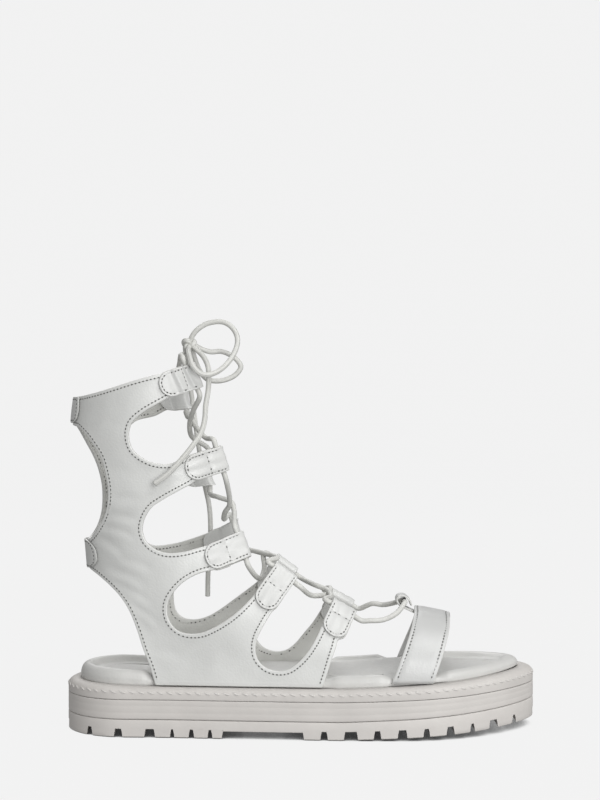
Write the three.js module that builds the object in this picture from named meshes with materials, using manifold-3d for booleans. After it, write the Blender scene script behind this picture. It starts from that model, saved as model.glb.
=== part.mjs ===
// Gladiator sandal, right shoe, in millimetres.
// +X points to the toe, +Z up, -Y to the outer (lateral) side of the foot.
// The origin is on the floor, in the middle of the sole.
import * as THREE from 'three';
import { mergeVertices } from 'three/addons/utils/BufferGeometryUtils.js';
import Module from 'manifold-3d';

const wasm = await Module();
wasm.setup();

// ---------------------------------------------------------------- driving dimensions
const SOLE_LENGTH = 270;
const HEEL_ROUND = 36; // length of the rounded back end of the sole
const TOE_ROUND = 78; // length of the rounded front end
const TOE_TURN = 7; // how far the tip turns towards the big toe
const TOE_SPRING = 5; // lift of the sole at the tip
const SPRING_START = 20; // where the sole leaves the floor
const TREAD_DEPTH = 4.6;
const SEAM = 0.3; // gap between pieces that touch
const UPPER_WALL = 2.0;
const TAB_LEATHER = 1.1;
const OVERLAY = 1.0; // thickness of the strip and patch on the back seam
const LACE = 3.0; // lace diameter
const UPPER_FOOT = 28; // height where the upper's wall ends on the welt
const UPPER_INSET = 6.0; // from the sole's edge to the upper's wall at its foot
const BLEND_HEIGHT = 52; // over which the wall turns from the sole's outline to the last

const BACK = -SOLE_LENGTH / 2;
const TIP = SOLE_LENGTH / 2;

// The last: one row for each height. back and front are where its outline crosses the
// middle plane, lateral and medial are its half widths.
const LAST = [
  // z, back, front, lateral, medial
  [24, -120.4, 128.0, 38.0, 35.0],
  [45, -121.0, 92.0, 38.0, 35.0],
  [60, -121.8, 58.0, 37.0, 34.5],
  [72, -122.3, 35.0, 35.5, 34.0],
  [84, -122.8, 13.5, 33.5, 33.0],
  [92, -123.4, -1.0, 32.0, 31.5],
  [99, -124.0, -14.5, 31.0, 30.5],
  [107, -124.7, -23.0, 30.3, 30.0],
  [118, -126.2, -28.5, 30.0, 29.5],
  [135, -128.7, -32.5, 30.0, 29.5],
  [155, -131.2, -37.0, 31.0, 30.5],
  [176, -132.7, -42.5, 33.0, 32.5],
  [192, -130.9, -46.5, 34.0, 33.5],
  [212, -128.7, -51.5, 35.0, 34.5],
];

// The sole seen from below: half widths from the axis, before the ends are rounded.
const SOLE = [
  // x, lateral, medial
  [-135, 37.0, 36.5],
  [-100, 38.0, 37.0],
  [-74, 39.3, 37.5],
  [-45, 42.0, 37.8],
  [-10, 45.0, 39.5],
  [20, 47.2, 43.0],
  [45, 48.8, 46.3],
  [65, 49.4, 47.6],
  [90, 47.6, 47.2],
  [115, 43.0, 45.4],
  [135, 38.0, 43.0],
];

// Grooves across the tread.
const GROOVES = [
  // from x, to x
  [-120.6, -117.6],
  [-104.7, -100.2],
  [-87.6, -81.9],
  [-73.2, -71.1],
  [-62.8, -60.0],
  [-52.2, -49.8],
  [-44.2, 1.0],
  [10.4, 14.2],
  [23.4, 30.8],
  [39.8, 43.6],
  [53.0, 58.0],
  [67.2, 70.6],
  [80.2, 84.5],
  [93.8, 96.3],
  [105.2, 110.2],
  [119.6, 121.8],
];

// ---------------------------------------------------------------- small tools
const clamp = (value, low, high) => Math.min(Math.max(value, low), high);
const mix = (a, b, share) => a + (b - a) * share;
const smooth = (share) => {
  const s = clamp(share, 0, 1);
  return s * s * (3 - 2 * s);
};

// A smooth curve through one column of a table, by cubic Hermite pieces.
function column(table, index, at) {
  const last = table.length - 1;
  const x = clamp(at, table[0][0], table[last][0]);
  let i = 0;
  while (i < last - 1 && x >= table[i + 1][0]) i += 1;
  const slope = (k) => (table[k + 1][index] - table[k][index]) / (table[k + 1][0] - table[k][0]);
  const tangent = (k) => {
    if (k === 0) return slope(0);
    if (k === last) return slope(last - 1);
    const before = table[k][0] - table[k - 1][0];
    const after = table[k + 1][0] - table[k][0];
    return (slope(k - 1) * after + slope(k) * before) / (before + after);
  };
  const span = table[i + 1][0] - table[i][0];
  const t = (x - table[i][0]) / span;
  const rise = t * t * (3 - 2 * t);
  return mix(table[i][index], table[i + 1][index], rise)
    + span * (t * (1 - t) * (1 - t) * tangent(i) - t * t * (1 - t) * tangent(i + 1));
}

function geometryOf(points, triangles) {
  const geometry = new THREE.BufferGeometry();
  geometry.setAttribute('position', new THREE.Float32BufferAttribute(points.flat(), 3));
  geometry.setIndex(triangles.flat());
  return geometry;
}

function solidOf(geometry) {
  const bare = geometry.clone();
  bare.deleteAttribute('normal');
  bare.deleteAttribute('uv');
  const merged = mergeVertices(bare, 1e-5);
  const vertProperties = new Float32Array(merged.attributes.position.array);
  const triVerts = new Uint32Array(merged.index.array);
  return new wasm.Manifold(new wasm.Mesh({ numProp: 3, vertProperties, triVerts }));
}

function geometryOfSolid(solid) {
  const mesh = solid.getMesh();
  const geometry = new THREE.BufferGeometry();
  geometry.setAttribute('position', new THREE.BufferAttribute(mesh.vertProperties, 3));
  geometry.setIndex(new THREE.BufferAttribute(mesh.triVerts, 1));
  return geometry;
}

// Skin between closed rings of equal count. Rings run so that the faces point outwards.
function skin(rings, closed) {
  const count = rings[0].length;
  const triangles = [];
  const bands = closed ? rings.length : rings.length - 1;
  for (let r = 0; r < bands; r += 1) {
    const low = r * count;
    const high = ((r + 1) % rings.length) * count;
    for (let i = 0; i < count; i += 1) {
      const j = (i + 1) % count;
      triangles.push([low + i, low + j, high + j], [low + i, high + j, high + i]);
    }
  }
  return triangles;
}

// Flat or gently curved lid over a ring whose two halves face each other across the axis.
function lid(ring, start, up) {
  const count = ring.length;
  const half = count / 2;
  const triangles = [];
  for (let i = 0; i < half; i += 1) {
    const a = start + i;
    const b = start + i + 1;
    const c = start + ((count - i) % count);
    const d = start + count - i - 1;
    if (i > 0) triangles.push(up ? [a, b, c] : [a, c, b]);
    if (i < half - 1) triangles.push(up ? [b, d, c] : [b, c, d]);
  }
  return triangles;
}

function stacked(rings) {
  const count = rings[0].length;
  const triangles = skin(rings, false);
  triangles.push(...lid(rings[0], 0, false));
  triangles.push(...lid(rings[rings.length - 1], (rings.length - 1) * count, true));
  return geometryOf(rings.flat(), triangles);
}

// Closed sheet of leather. place(s, b, h) gives a point: s runs along, b across from
// -1 to 1, and h is the height of the outer (+) or inner (-) face over the middle.
function sheet(place, stations, across, thickness) {
  const points = [];
  const rows = stations.length;
  const index = (i, k, side) => (i * (across + 1) + k) * 2 + side;
  for (const s of stations) {
    for (let k = 0; k <= across; k += 1) {
      const b = (2 * k) / across - 1;
      points.push(place(s, b, thickness / 2), place(s, b, -thickness / 2));
    }
  }
  const triangles = [];
  const quad = (a, b, c, d) => triangles.push([a, b, c], [a, c, d]);
  for (let i = 0; i < rows - 1; i += 1) {
    for (let k = 0; k < across; k += 1) {
      quad(index(i, k, 0), index(i + 1, k, 0), index(i + 1, k + 1, 0), index(i, k + 1, 0));
      quad(index(i, k, 1), index(i, k + 1, 1), index(i + 1, k + 1, 1), index(i + 1, k, 1));
    }
    quad(index(i, 0, 0), index(i, 0, 1), index(i + 1, 0, 1), index(i + 1, 0, 0));
    quad(index(i, across, 0), index(i + 1, across, 0), index(i + 1, across, 1), index(i, across, 1));
  }
  for (let k = 0; k < across; k += 1) {
    const end = rows - 1;
    quad(index(0, k, 0), index(0, k + 1, 0), index(0, k + 1, 1), index(0, k, 1));
    quad(index(end, k, 0), index(end, k, 1), index(end, k + 1, 1), index(end, k + 1, 0));
  }
  const geometry = geometryOf(points, triangles);
  const solid = solidOf(geometry);
  if (solid.volume() > 0) return geometry;
  return geometryOf(points, triangles.map(([a, b, c]) => [a, c, b]));
}

// ---------------------------------------------------------------- sole
const spring = (x) => TOE_SPRING * clamp((x - SPRING_START) / (TIP - SPRING_START), 0, 1) ** 1.15;
const tread = (x) => spring(x);
const grooveLine = (x) => 10 + 1.25 * spring(x);
const weltFoot = (x) => 20.9 + 0.9 * spring(x);
const weltTop = (x) => 27.3 + 1.25 * spring(x) + 0.9 * smooth((-70 - x) / 50);

function soleHalf(x, side) {
  const heel = clamp((BACK + HEEL_ROUND - x) / HEEL_ROUND, 0, 1);
  const toe = clamp((x - (TIP - TOE_ROUND)) / TOE_ROUND, 0, 1);
  const ends = Math.sqrt(1 - heel * heel) * Math.sqrt(1 - toe ** 2.3);
  return column(SOLE, side < 0 ? 1 : 2, x) * ends;
}

const soleTurn = (x) => TOE_TURN * clamp((x - 20) / 115, 0, 1) ** 2;
const soleEdge = (x, side) => soleTurn(x) + side * soleHalf(x, side);

// The sole's outline, moved inwards by inset(x), as a ring from the heel along the
// lateral side to the tip and back along the medial side.
const SOLE_STEPS = 24;
function soleRing(inset, height) {
  const at = (angle) => {
    const turn = ((angle % 2) + 2) % 2;
    const share = turn <= 1 ? turn : 2 - turn;
    const x = BACK + (SOLE_LENGTH * (1 - Math.cos(Math.PI * share))) / 2;
    return [x, soleEdge(x, turn <= 1 ? -1 : 1)];
  };
  const ring = [];
  for (let i = 0; i < 2 * SOLE_STEPS; i += 1) {
    const angle = i / SOLE_STEPS;
    const [x, y] = at(angle);
    const before = at(angle - 0.004);
    const after = at(angle + 0.004);
    const dx = after[0] - before[0];
    const dy = after[1] - before[1];
    const length = Math.hypot(dx, dy);
    const depth = typeof inset === 'function' ? inset(x) : inset;
    ring.push([x - (dy / length) * depth, y + (dx / length) * depth, height(x)]);
  }
  return ring;
}

function outsole() {
  const body = solidOf(stacked([
    soleRing(0.6, tread),
    soleRing(0, (x) => tread(x) + 0.6),
    soleRing(0, (x) => grooveLine(x) - 0.7),
    soleRing(0.6, (x) => grooveLine(x) - SEAM / 2),
  ]));
  let solid = body;
  for (const [from, to] of GROOVES) {
    const middle = (from + to) / 2;
    const arch = to - from > 20;
    const roof = spring(middle) + (arch ? 4.0 : TREAD_DEPTH);
    const flare = 0.5;
    const shape = new THREE.Shape([
      new THREE.Vector2(from - flare, -1),
      new THREE.Vector2(to + flare, -1),
      new THREE.Vector2(to + flare, 0),
      new THREE.Vector2(to - flare, roof),
      new THREE.Vector2(from + flare, roof),
      new THREE.Vector2(from - flare, 0),
    ]);
    const cut = new THREE.ExtrudeGeometry(shape, { depth: 120, bevelEnabled: false });
    cut.rotateX(Math.PI / 2);
    cut.translate(0, 60, 0);
    solid = solid.subtract(solidOf(cut));
  }
  return geometryOfSolid(solid);
}

function midsole() {
  return stacked([
    soleRing(0.6, (x) => grooveLine(x) + SEAM / 2),
    soleRing(0, (x) => grooveLine(x) + 0.7),
    soleRing(0, (x) => weltFoot(x) - 0.5),
    soleRing(0.4, (x) => weltFoot(x) - SEAM / 2),
  ]);
}

const WELT_WIDTH = 9.5;
function welt() {
  const foot = (x) => weltFoot(x) + SEAM / 2;
  const rings = [
    soleRing(0.4, foot),
    soleRing(0, (x) => foot(x) + 0.4),
    soleRing(0, (x) => mix(weltFoot(x), weltTop(x), 0.55)),
    soleRing(1.2, (x) => mix(weltFoot(x), weltTop(x), 0.84)),
    soleRing(4.0, weltTop),
    soleRing(WELT_WIDTH, weltTop),
    soleRing(WELT_WIDTH, foot),
  ];
  return geometryOf(rings.flat(), skin(rings, true));
}

// Where a strap goes down between footbed and welt the footbed's rim is tucked in.
const STRAP_ENTRIES = [
  // from x, to x
  [-84, 14],
  [50, 80],
];
const tuck = (x) => Math.max(...STRAP_ENTRIES.map(
  ([from, to]) => smooth((x - from + 6) / 6) * smooth((to + 6 - x) / 6),
));

function footbed() {
  const wide = (x) => 1 + 0.25 * smooth((x - 95) / 40);
  const inset = (depth) => (x) => depth * wide(x) + 1.6 * tuck(x);
  const rim = (x) => mix(8.3, 5.0, (x - BACK) / SOLE_LENGTH) * (1 - 0.35 * tuck(x));
  const basin = (x) => 4.6 - 1.2 * smooth((x - 60) / 60);
  const above = (share) => (x) => weltTop(x) + SEAM + rim(x) * share;
  return stacked([
    soleRing(WELT_WIDTH + 0.4, (x) => weltFoot(x) + SEAM),
    soleRing(WELT_WIDTH + 0.4, (x) => weltTop(x) + SEAM - 0.25),
    soleRing(inset(7.7), above(0)),
    soleRing(inset(7.2), above(0.2)),
    soleRing(inset(7.4), above(0.5)),
    soleRing(inset(8.8), above(0.84)),
    soleRing(inset(11.4), above(1)),
    soleRing(inset(14.4), (x) => mix(above(1)(x), weltTop(x) + basin(x), 0.25)),
    soleRing(inset(18.5), (x) => mix(above(1)(x), weltTop(x) + basin(x), 0.85)),
    soleRing(inset(22.5), (x) => weltTop(x) + basin(x)),
  ]);
}

// ---------------------------------------------------------------- last and its surface
// How far the last's surface is from the middle plane at (x, z) on one side.
function lastHalf(x, z, side) {
  const back = column(LAST, 1, z);
  const front = column(LAST, 2, z);
  const share = clamp((x - back) / (front - back), 0, 1);
  const oval = 2 * column(LAST, side < 0 ? 3 : 4, z) * Math.sqrt(share * (1 - share));
  const foot = Math.max(side * soleEdge(x, side) - UPPER_INSET, 0);
  return mix(foot, oval, smooth((z - UPPER_FOOT) / BLEND_HEIGHT));
}

// turn runs once round the last: 0 at the back, 1 at the front, lateral side first.
function lastPoint(turn, z) {
  const around = ((turn % 2) + 2) % 2;
  const share = around <= 1 ? around : 2 - around;
  const side = around <= 1 ? -1 : 1;
  const back = column(LAST, 1, z);
  const front = column(LAST, 2, z);
  const x = back + ((front - back) * (1 - Math.cos(Math.PI * share))) / 2;
  return new THREE.Vector3(x, side * lastHalf(x, z, side), z);
}

function lastNormal(turn, z) {
  const along = lastPoint(turn + 0.002, z).sub(lastPoint(turn - 0.002, z));
  const up = lastPoint(turn, z + 0.4).sub(lastPoint(turn, z - 0.4));
  return along.cross(up).normalize();
}

function turnAt(x, z, side) {
  const back = column(LAST, 1, z);
  const front = column(LAST, 2, z);
  const share = clamp((x - back) / (front - back), 0, 1);
  const turn = Math.acos(1 - 2 * share) / Math.PI;
  return side < 0 ? turn : 2 - turn;
}

// A point over the last at height h, for a place (x, z) of the side view.
function overLast(x, z, side, h) {
  const turn = turnAt(x, z, side);
  return lastPoint(turn, z).addScaledVector(lastNormal(turn, z), h);
}

// ---------------------------------------------------------------- fingers and loop tabs
// One row for each finger, as seen from the lateral side: the middle of the stitch line
// that closes its tunnel, the finger's angle, its width, the length of its tab's two leaves,
// and the depth of its tunnel from the stitch line to the fold.
const TABS = [
  // x, z, angle, width, leaf, tunnel
  [-66.6, 199.6, 19, 14.6, 15.3, 10.4],
  [-53.0, 152.2, 17, 14.6, 15.3, 11.8],
  [-42.2, 102.5, 20, 14.8, 14.7, 13.6],
  [-15.2, 82.4, 53, 14.6, 14.8, 14.4],
  [21.4, 65.8, 61, 14.6, 14.0, 10.2],
];
const TUNNEL_HALF = 2.45; // half height of the tunnel at the middle of the leather

// The soft medial fingers hang a little differently: how far each tip is moved.
const DRIFT = [
  // z, reach in z, x of the root, x of the tip, move in x, move in z
  [198, 28, -100, -60, -12.0, -12.2],
  [150, 22, -85, -45, -13.2, -10.5],
  [103, 18, -80, -35, -6.0, 3.8],
];
function drift(x, z, side) {
  let movedX = x;
  let movedZ = z;
  if (side < 0) return [movedX, movedZ];
  for (const [height, reach, root, tip, dx, dz] of DRIFT) {
    const near = Math.max(1 - ((z - height) / reach) ** 2, 0) ** 2;
    const weight = near * smooth((x - root) / (tip - root));
    movedX += weight * dx;
    movedZ += weight * dz;
  }
  return [movedX, movedZ];
}

// A place of the side view at a mm along and b mm across finger number k.
function onFinger(k, a, b, side) {
  const [x, z, degrees] = TABS[k];
  const angle = (degrees * Math.PI) / 180;
  const squeeze = FINGER_SQUEEZE[k];
  const dx = a * squeeze * Math.cos(angle) - b * Math.sin(angle);
  const dz = a * squeeze * Math.sin(angle) + b * Math.cos(angle);
  return drift(x + dx, z + dz, side);
}
// Foreshortening of each leaf in the side view, because the last turns away there.
const FINGER_SQUEEZE = [0.9, 0.86, 0.86, 0.86, 0.76];

function onSide(x, z, side, h) {
  return overLast(x, z, side, h).toArray();
}

function tabFrame(k, side) {
  const [x, z] = onFinger(k, 0, 0, side);
  const [backX, backZ] = onFinger(k, -2.5, 0, side);
  const origin = overLast(x, z, side, 0);
  const along = origin.clone().sub(overLast(backX, backZ, side, 0)).normalize();
  const normal = lastNormal(turnAt(x, z, side), z);
  return { origin, along, normal };
}

// The tab is one strip of leather, an inner leaf, round the fold and an outer leaf, and
// both ends are half round. Its middle runs along (a, h): a from the stitch line, h over
// the last.
function tabPath(leaf, tunnel) {
  const outer = SEAM + 0.35 + TAB_LEATHER / 2;
  const inner = -UPPER_WALL - outer;
  const middle = (outer + inner) / 2;
  const end = tunnel - TUNNEL_HALF - TAB_LEATHER / 2;
  const path = [];
  for (const share of [1, 0.92, 0.78, 0.5, 0]) path.push([-leaf * share, inner]);
  path.push([3.6, middle - TUNNEL_HALF]);
  const steps = 4;
  for (let i = 0; i <= steps; i += 1) {
    const angle = -Math.PI / 2 + (Math.PI * i) / steps;
    path.push([end + TUNNEL_HALF * Math.cos(angle), middle + TUNNEL_HALF * Math.sin(angle)]);
  }
  path.push([3.6, middle + TUNNEL_HALF]);
  for (const share of [0, 0.5, 0.78, 0.92, 1]) path.push([-leaf * share, outer]);
  return path;
}

function loopTab(k, side) {
  const [, , , width, leaf, tunnel] = TABS[k];
  const frame = tabFrame(k, side);
  const path = tabPath(leaf, tunnel);
  const round = width * 0.5;
  const place = (s, b, lift) => {
    const [a, h] = path[s];
    const past = clamp((-a - (leaf - round)) / round, 0, 0.985);
    const half = (width / 2) * Math.sqrt(1 - past * past);
    if (a <= 0) {
      const outward = h > -UPPER_WALL / 2 ? 1 : -1;
      const [x, z] = onFinger(k, a, b * half, side);
      return onSide(x, z, side, h + outward * lift);
    }
    const before = path[Math.max(s - 1, 0)];
    const after = path[Math.min(s + 1, path.length - 1)];
    const length = Math.hypot(after[0] - before[0], after[1] - before[1]);
    const da = (after[1] - before[1]) / length;
    const dh = -(after[0] - before[0]) / length;
    const [x, z] = onFinger(k, 0, b * half, side);
    return overLast(x, z, side, 0)
      .addScaledVector(frame.along, a + da * lift)
      .addScaledVector(frame.normal, h + dh * lift)
      .toArray();
  };
  return sheet(place, path.map((row, s) => s), 2, TAB_LEATHER);
}

// The end of a tab's tunnel: a point on its axis, out past the edge of the tab.
const LACE_SEAT = TUNNEL_HALF + 1.4; // from the fold to the middle of the lace
function tunnelEnd(k, side, upper, past, inset = LACE_SEAT) {
  const { along, normal } = tabFrame(k, side);
  const edge = (sign) => overLast(...onFinger(k, 0, (sign * TABS[k][3]) / 2, side), side, 0);
  const end = edge(upper ? 1 : -1);
  const outward = end.clone().sub(edge(upper ? -1 : 1)).normalize();
  return end
    .addScaledVector(outward, past)
    .addScaledVector(along, TABS[k][5] - inset)
    .addScaledVector(normal, -UPPER_WALL / 2);
}

// ---------------------------------------------------------------- upper
// The rounded notches between the fingers, by points between the two fingers' tabs.
const LATERAL_NOTCHES = [
  [[-82, 185.2], [-89, 181], [-95.5, 175], [-97.3, 167.5], [-95, 159.8], [-89, 155],
    [-82, 152.4], [-74, 152.2], [-67.5, 154.6]],
  [[-62.5, 140.5], [-69, 137], [-78.7, 131.5], [-85, 127], [-89, 120], [-89.8, 114],
    [-87.5, 108], [-81.7, 103.6], [-75, 102], [-66, 102.8], [-58.5, 104.8]],
  [[-54.3, 91.8], [-60.5, 89.6], [-66.5, 86], [-71.5, 81], [-75, 75], [-75.7, 69],
    [-74, 63.3], [-69.7, 58.8], [-63.9, 57.1], [-56.7, 57.6], [-49.6, 60.6],
    [-40.5, 66.2], [-33, 72.4]],
  [[-17.4, 68.4], [-21.6, 61.6], [-24.8, 55], [-25.8, 49], [-24.8, 43.6],
    [-20.8, 39.2], [-14.5, 37], [-8, 37.7], [-2.3, 41.6], [2.8, 47.2], [7.2, 54]],
];
const MEDIAL_NOTCHES = [
  [[-88, 178.4], [-100, 175], [-105.3, 168.5], [-105.2, 161], [-100, 153.8],
    [-92, 148.8], [-84.5, 146.4]],
  [[-82, 131], [-90.5, 126], [-96.5, 119], [-98, 112], [-95.5, 105.6], [-89, 101.2],
    [-78.5, 101.8], [-68, 104.4]],
  [[-58, 92.5], [-63, 90.3], [-68.8, 86.4], [-73.6, 81], [-76.6, 74.5], [-76.8, 68],
    [-75.2, 61.6], [-71, 57.6], [-64, 56.4], [-56, 58.3], [-48.3, 62.7],
    [-40.5, 68.4], [-32.5, 74.4]],
  [[-18.2, 69.5], [-23, 61.6], [-26.8, 55], [-27.8, 48.5], [-26, 42.6],
    [-21.5, 38.7], [-15, 37], [-8.8, 38.1], [-3.6, 42], [1.5, 48.1], [6.8, 54.6]],
];
const TOP_EDGE = [[-133, 189.8], [-127, 190.2], [-117, 192.2], [-106, 195.3], [-96, 198.4], [-86, 201.2]];
const FRONT_EDGE = [[20.6, 54.5], [18.8, 49.5], [16.6, 43.5], [13.9, 35.3], [11.4, UPPER_FOOT]];
const HEEL_EDGE = [[-82.2, UPPER_FOOT], [-85.3, 38.5], [-89.2, 48], [-93.2, 59.3], [-97.9, 69.6],
  [-102.8, 76.4], [-108.2, 81.6], [-114.2, 86.2], [-119.6, 89.4], [-124, 91]];
const BACK_OPENING = [
  // z, lateral x, medial x
  [108, -122.6, -124.4],
  [109.5, -120.6, -123.2],
  [112.4, -118.2, -121.6],
  [116, -115.7, -120.1],
  [122.5, -112.2, -118.6],
  [130, -110.2, -118.2],
  [138, -109.9, -118.7],
  [147, -111.4, -120.7],
  [155, -113.6, -123.6],
  [162, -117.8, -127.0],
  [168, -122.6, -129.8],
  [172.6, -127.6, -131.9],
];

// One side's panel in the side view, as a closed shape.
function panelShape(side) {
  const corner = (k, upper, a) => {
    const half = (TABS[k][3] / 2 - 0.35) * (upper ? 1 : -1);
    return onFinger(k, a, half, side);
  };
  const moved = (rows) => rows.map(([x, z]) => drift(x, z, side));
  const vectors = (rows) => rows.map(([x, z]) => new THREE.Vector2(x, z));
  const beyond = BACK - 10;
  const shape = new THREE.Shape();
  shape.moveTo(beyond, TOP_EDGE[0][1]);
  shape.lineTo(...moved(TOP_EDGE)[0]);
  shape.splineThru(vectors([...moved(TOP_EDGE).slice(1), corner(0, true, -9), corner(0, true, 0)]));
  const notches = side < 0 ? LATERAL_NOTCHES : MEDIAL_NOTCHES;
  for (let k = 0; k < notches.length; k += 1) {
    shape.lineTo(...corner(k, false, 0));
    shape.splineThru(vectors([
      corner(k, false, -9),
      ...notches[k],
      corner(k + 1, true, -9),
      corner(k + 1, true, 0),
    ]));
  }
  shape.lineTo(...corner(4, false, 0));
  shape.splineThru(vectors([corner(4, false, -8), ...FRONT_EDGE]));
  shape.lineTo(...HEEL_EDGE[0]);
  shape.splineThru(vectors(HEEL_EDGE.slice(1)));
  shape.lineTo(beyond, 91);
  shape.lineTo(beyond, BACK_OPENING[0][0]);
  shape.lineTo(BACK_OPENING[0][side < 0 ? 1 : 2], BACK_OPENING[0][0]);
  shape.splineThru(vectors(BACK_OPENING.slice(1).map(([z, lateral, medial]) => (
    [side < 0 ? lateral : medial, z]
  ))));
  shape.lineTo(beyond, 174.6);
  shape.closePath();
  return shape;
}

function upper() {
  const around = 24;
  const levels = [];
  for (let z = UPPER_FOOT; z < 211.5; z += 10.17) levels.push(z);
  const ring = (z, h) => {
    const points = [];
    for (let i = 0; i < 2 * around; i += 1) {
      const turn = i / around;
      points.push(lastPoint(turn, z).addScaledVector(lastNormal(turn, z), h).toArray());
    }
    return points;
  };
  const outer = solidOf(stacked(levels.map((z) => ring(z, 0))));
  const inner = solidOf(stacked(levels.map((z, i) => {
    const overhang = i === 0 ? -3 : 3 * (i === levels.length - 1);
    return ring(z, -UPPER_WALL).map(([x, y, height]) => [x, y, height + overhang]);
  })));
  const shell = outer.subtract(inner);
  const half = (side) => {
    const prism = new THREE.ExtrudeGeometry(panelShape(side), {
      depth: 70, bevelEnabled: false, curveSegments: 1,
    });
    prism.rotateX(Math.PI / 2);
    if (side > 0) prism.translate(0, 70, 0);
    return shell.intersect(solidOf(prism));
  };
  return geometryOfSolid(half(-1).add(half(1)));
}

// ---------------------------------------------------------------- pieces over the back seam
const overlayMiddle = SEAM + 0.05 + OVERLAY / 2;

function collarBackStrip() {
  const rows = [
    // z, reach round each side of the seam
    [174.8, 0.085], [175.6, 0.12], [177.5, 0.148], [181, 0.16], [185, 0.158], [189.7, 0.15],
  ];
  const place = (s, b, h) => {
    const [z, reach] = rows[s];
    const turn = -b * reach;
    return lastPoint(turn, z).addScaledVector(lastNormal(turn, z), overlayMiddle + h).toArray();
  };
  return sheet(place, rows.map((row, s) => s), 6, OVERLAY);
}

function heelPatch() {
  const middle = 99.7;
  const half = 8.4;
  const shares = [-0.99, -0.93, -0.75, -0.4, 0, 0.4, 0.75, 0.93, 0.99];
  const place = (s, b, h) => {
    const z = middle + half * shares[s];
    const turn = -b * 0.17 * (1 - Math.abs(shares[s]) ** 2.6) ** (1 / 2.6);
    return lastPoint(turn, z).addScaledVector(lastNormal(turn, z), overlayMiddle + h).toArray();
  };
  return sheet(place, shares.map((row, s) => s), 8, OVERLAY);
}

// ---------------------------------------------------------------- toe strap
// An arch across the toes that leans forward as it rises.
const STRAP = {
  foot: 30.4, rise: 35.0, lateral: 41.4, medial: 42.2, footX: 61.4, topX: 75.2,
  footHalf: 11.6, topHalf: 10.2, skew: 7.5, fall: 0.2,
};
// angle runs from -90 (lateral welt) over 0 (top) to 90 (medial welt), in degrees. The
// medial end stands further forward, as the ball of the foot does.
function strapPoint(degrees, b, h) {
  const angle = (degrees * Math.PI) / 180;
  const power = 2 / 2.25;
  const rise = Math.max(Math.cos(angle), 0) ** power;
  const run = Math.abs(Math.sin(angle)) ** power;
  const forward = STRAP.skew * smooth((Math.sin(angle) + 0.15) / 1.15);
  const across = b * mix(STRAP.footHalf, STRAP.topHalf, rise);
  const x = mix(STRAP.footX, STRAP.topX, rise) + forward + across;
  const reach = Math.sign(angle) * (angle < 0 ? STRAP.lateral : STRAP.medial);
  const z = STRAP.foot + STRAP.rise * rise - STRAP.fall * rise * across;
  return new THREE.Vector3(x, reach * run + soleTurn(x) * 0.4, z).addScaledVector(
    new THREE.Vector3(0, Math.sin(angle), Math.cos(angle)), h,
  );
}

function toeStrap() {
  const stations = [-90, -84, -76, -66, -55, -44, -33, -22, -11, 0, 11, 22, 33, 44, 55, 66, 76, 84, 90];
  const place = (s, b, h) => strapPoint(stations[s], b, h).toArray();
  return sheet(place, stations.map((row, s) => s), 4, UPPER_WALL);
}

// The lace's folded loop behind the strap's rear edge: a leaf under the strap, and an oval
// curl that stands back and up over the instep.
const TOE_LOOP = {
  half: 6.2, leaf: 9, lift: 27, centre: 7.2, middle: 0.8, reach: 3.9, rise: 2.95,
};
function toeLoopFrame() {
  const lift = (TOE_LOOP.lift * Math.PI) / 180;
  const back = new THREE.Vector3(-Math.cos(lift), 0, Math.sin(lift));
  const up = new THREE.Vector3(Math.sin(lift), 0, Math.cos(lift));
  const start = strapPoint(0, -1, 0).addScaledVector(back, SEAM + 0.3);
  return { start, back, up };
}

function toeLoop() {
  const { start, back, up } = toeLoopFrame();
  const under = -(UPPER_WALL / 2 + SEAM + 0.75 + TAB_LEATHER / 2);
  const path = [];
  for (const share of [1, 0.6, 0.2]) {
    const row = strapPoint(0, -1 + (share * TOE_LOOP.leaf) / STRAP.topHalf, under);
    path.push([row.x, row.z]);
  }
  const add = (a, h) => {
    const point = start.clone().addScaledVector(back, a).addScaledVector(up, h);
    path.push([point.x, point.z]);
  };
  const { centre, middle, reach, rise } = TOE_LOOP;
  add(2.2, middle - rise);
  const steps = 8;
  for (let i = 0; i <= steps; i += 1) {
    const angle = -Math.PI / 2 + (Math.PI * i) / steps;
    add(centre + reach * Math.cos(angle), middle + rise * Math.sin(angle));
  }
  add(4.2, middle + rise - 0.9);
  add(1.9, 0.7);
  const place = (s, b, h) => {
    const before = path[Math.max(s - 1, 0)];
    const after = path[Math.min(s + 1, path.length - 1)];
    const length = Math.hypot(after[0] - before[0], after[1] - before[1]);
    const nx = -(after[1] - before[1]) / length;
    const nz = (after[0] - before[0]) / length;
    const middleY = soleTurn(STRAP.topX) * 0.4;
    return [path[s][0] + nx * h, middleY + b * TOE_LOOP.half, path[s][1] + nz * h];
  };
  return sheet(place, path.map((row, s) => s), 2, TAB_LEATHER);
}

// A point on the lace's way through the toe loop, past its edge on one side.
function toeTunnelEnd(side, past) {
  const { start, back, up } = toeLoopFrame();
  const middleY = soleTurn(STRAP.topX) * 0.4;
  const place = start.addScaledVector(back, 6.4).addScaledVector(up, TOE_LOOP.middle);
  return new THREE.Vector3(place.x, middleY + side * (TOE_LOOP.half + past), place.z);
}

// ---------------------------------------------------------------- lace
function cord(points, steps) {
  const curve = new THREE.CatmullRomCurve3(points, false, 'centripetal');
  const section = new THREE.Shape();
  for (let i = 0; i < 8; i += 1) {
    const angle = (i * Math.PI) / 4;
    const x = (LACE / 2) * Math.cos(angle);
    const y = (LACE / 2) * Math.sin(angle);
    if (i === 0) section.moveTo(x, y);
    else section.lineTo(x, y);
  }
  section.closePath();
  return new THREE.ExtrudeGeometry(section, { steps, extrudePath: curve, bevelEnabled: false });
}

const joined = (pieces) => geometryOfSolid(
  pieces.map(solidOf).reduce((whole, piece) => whole.add(piece)),
);
const point = (x, y, z) => new THREE.Vector3(x, y, z);

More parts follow.
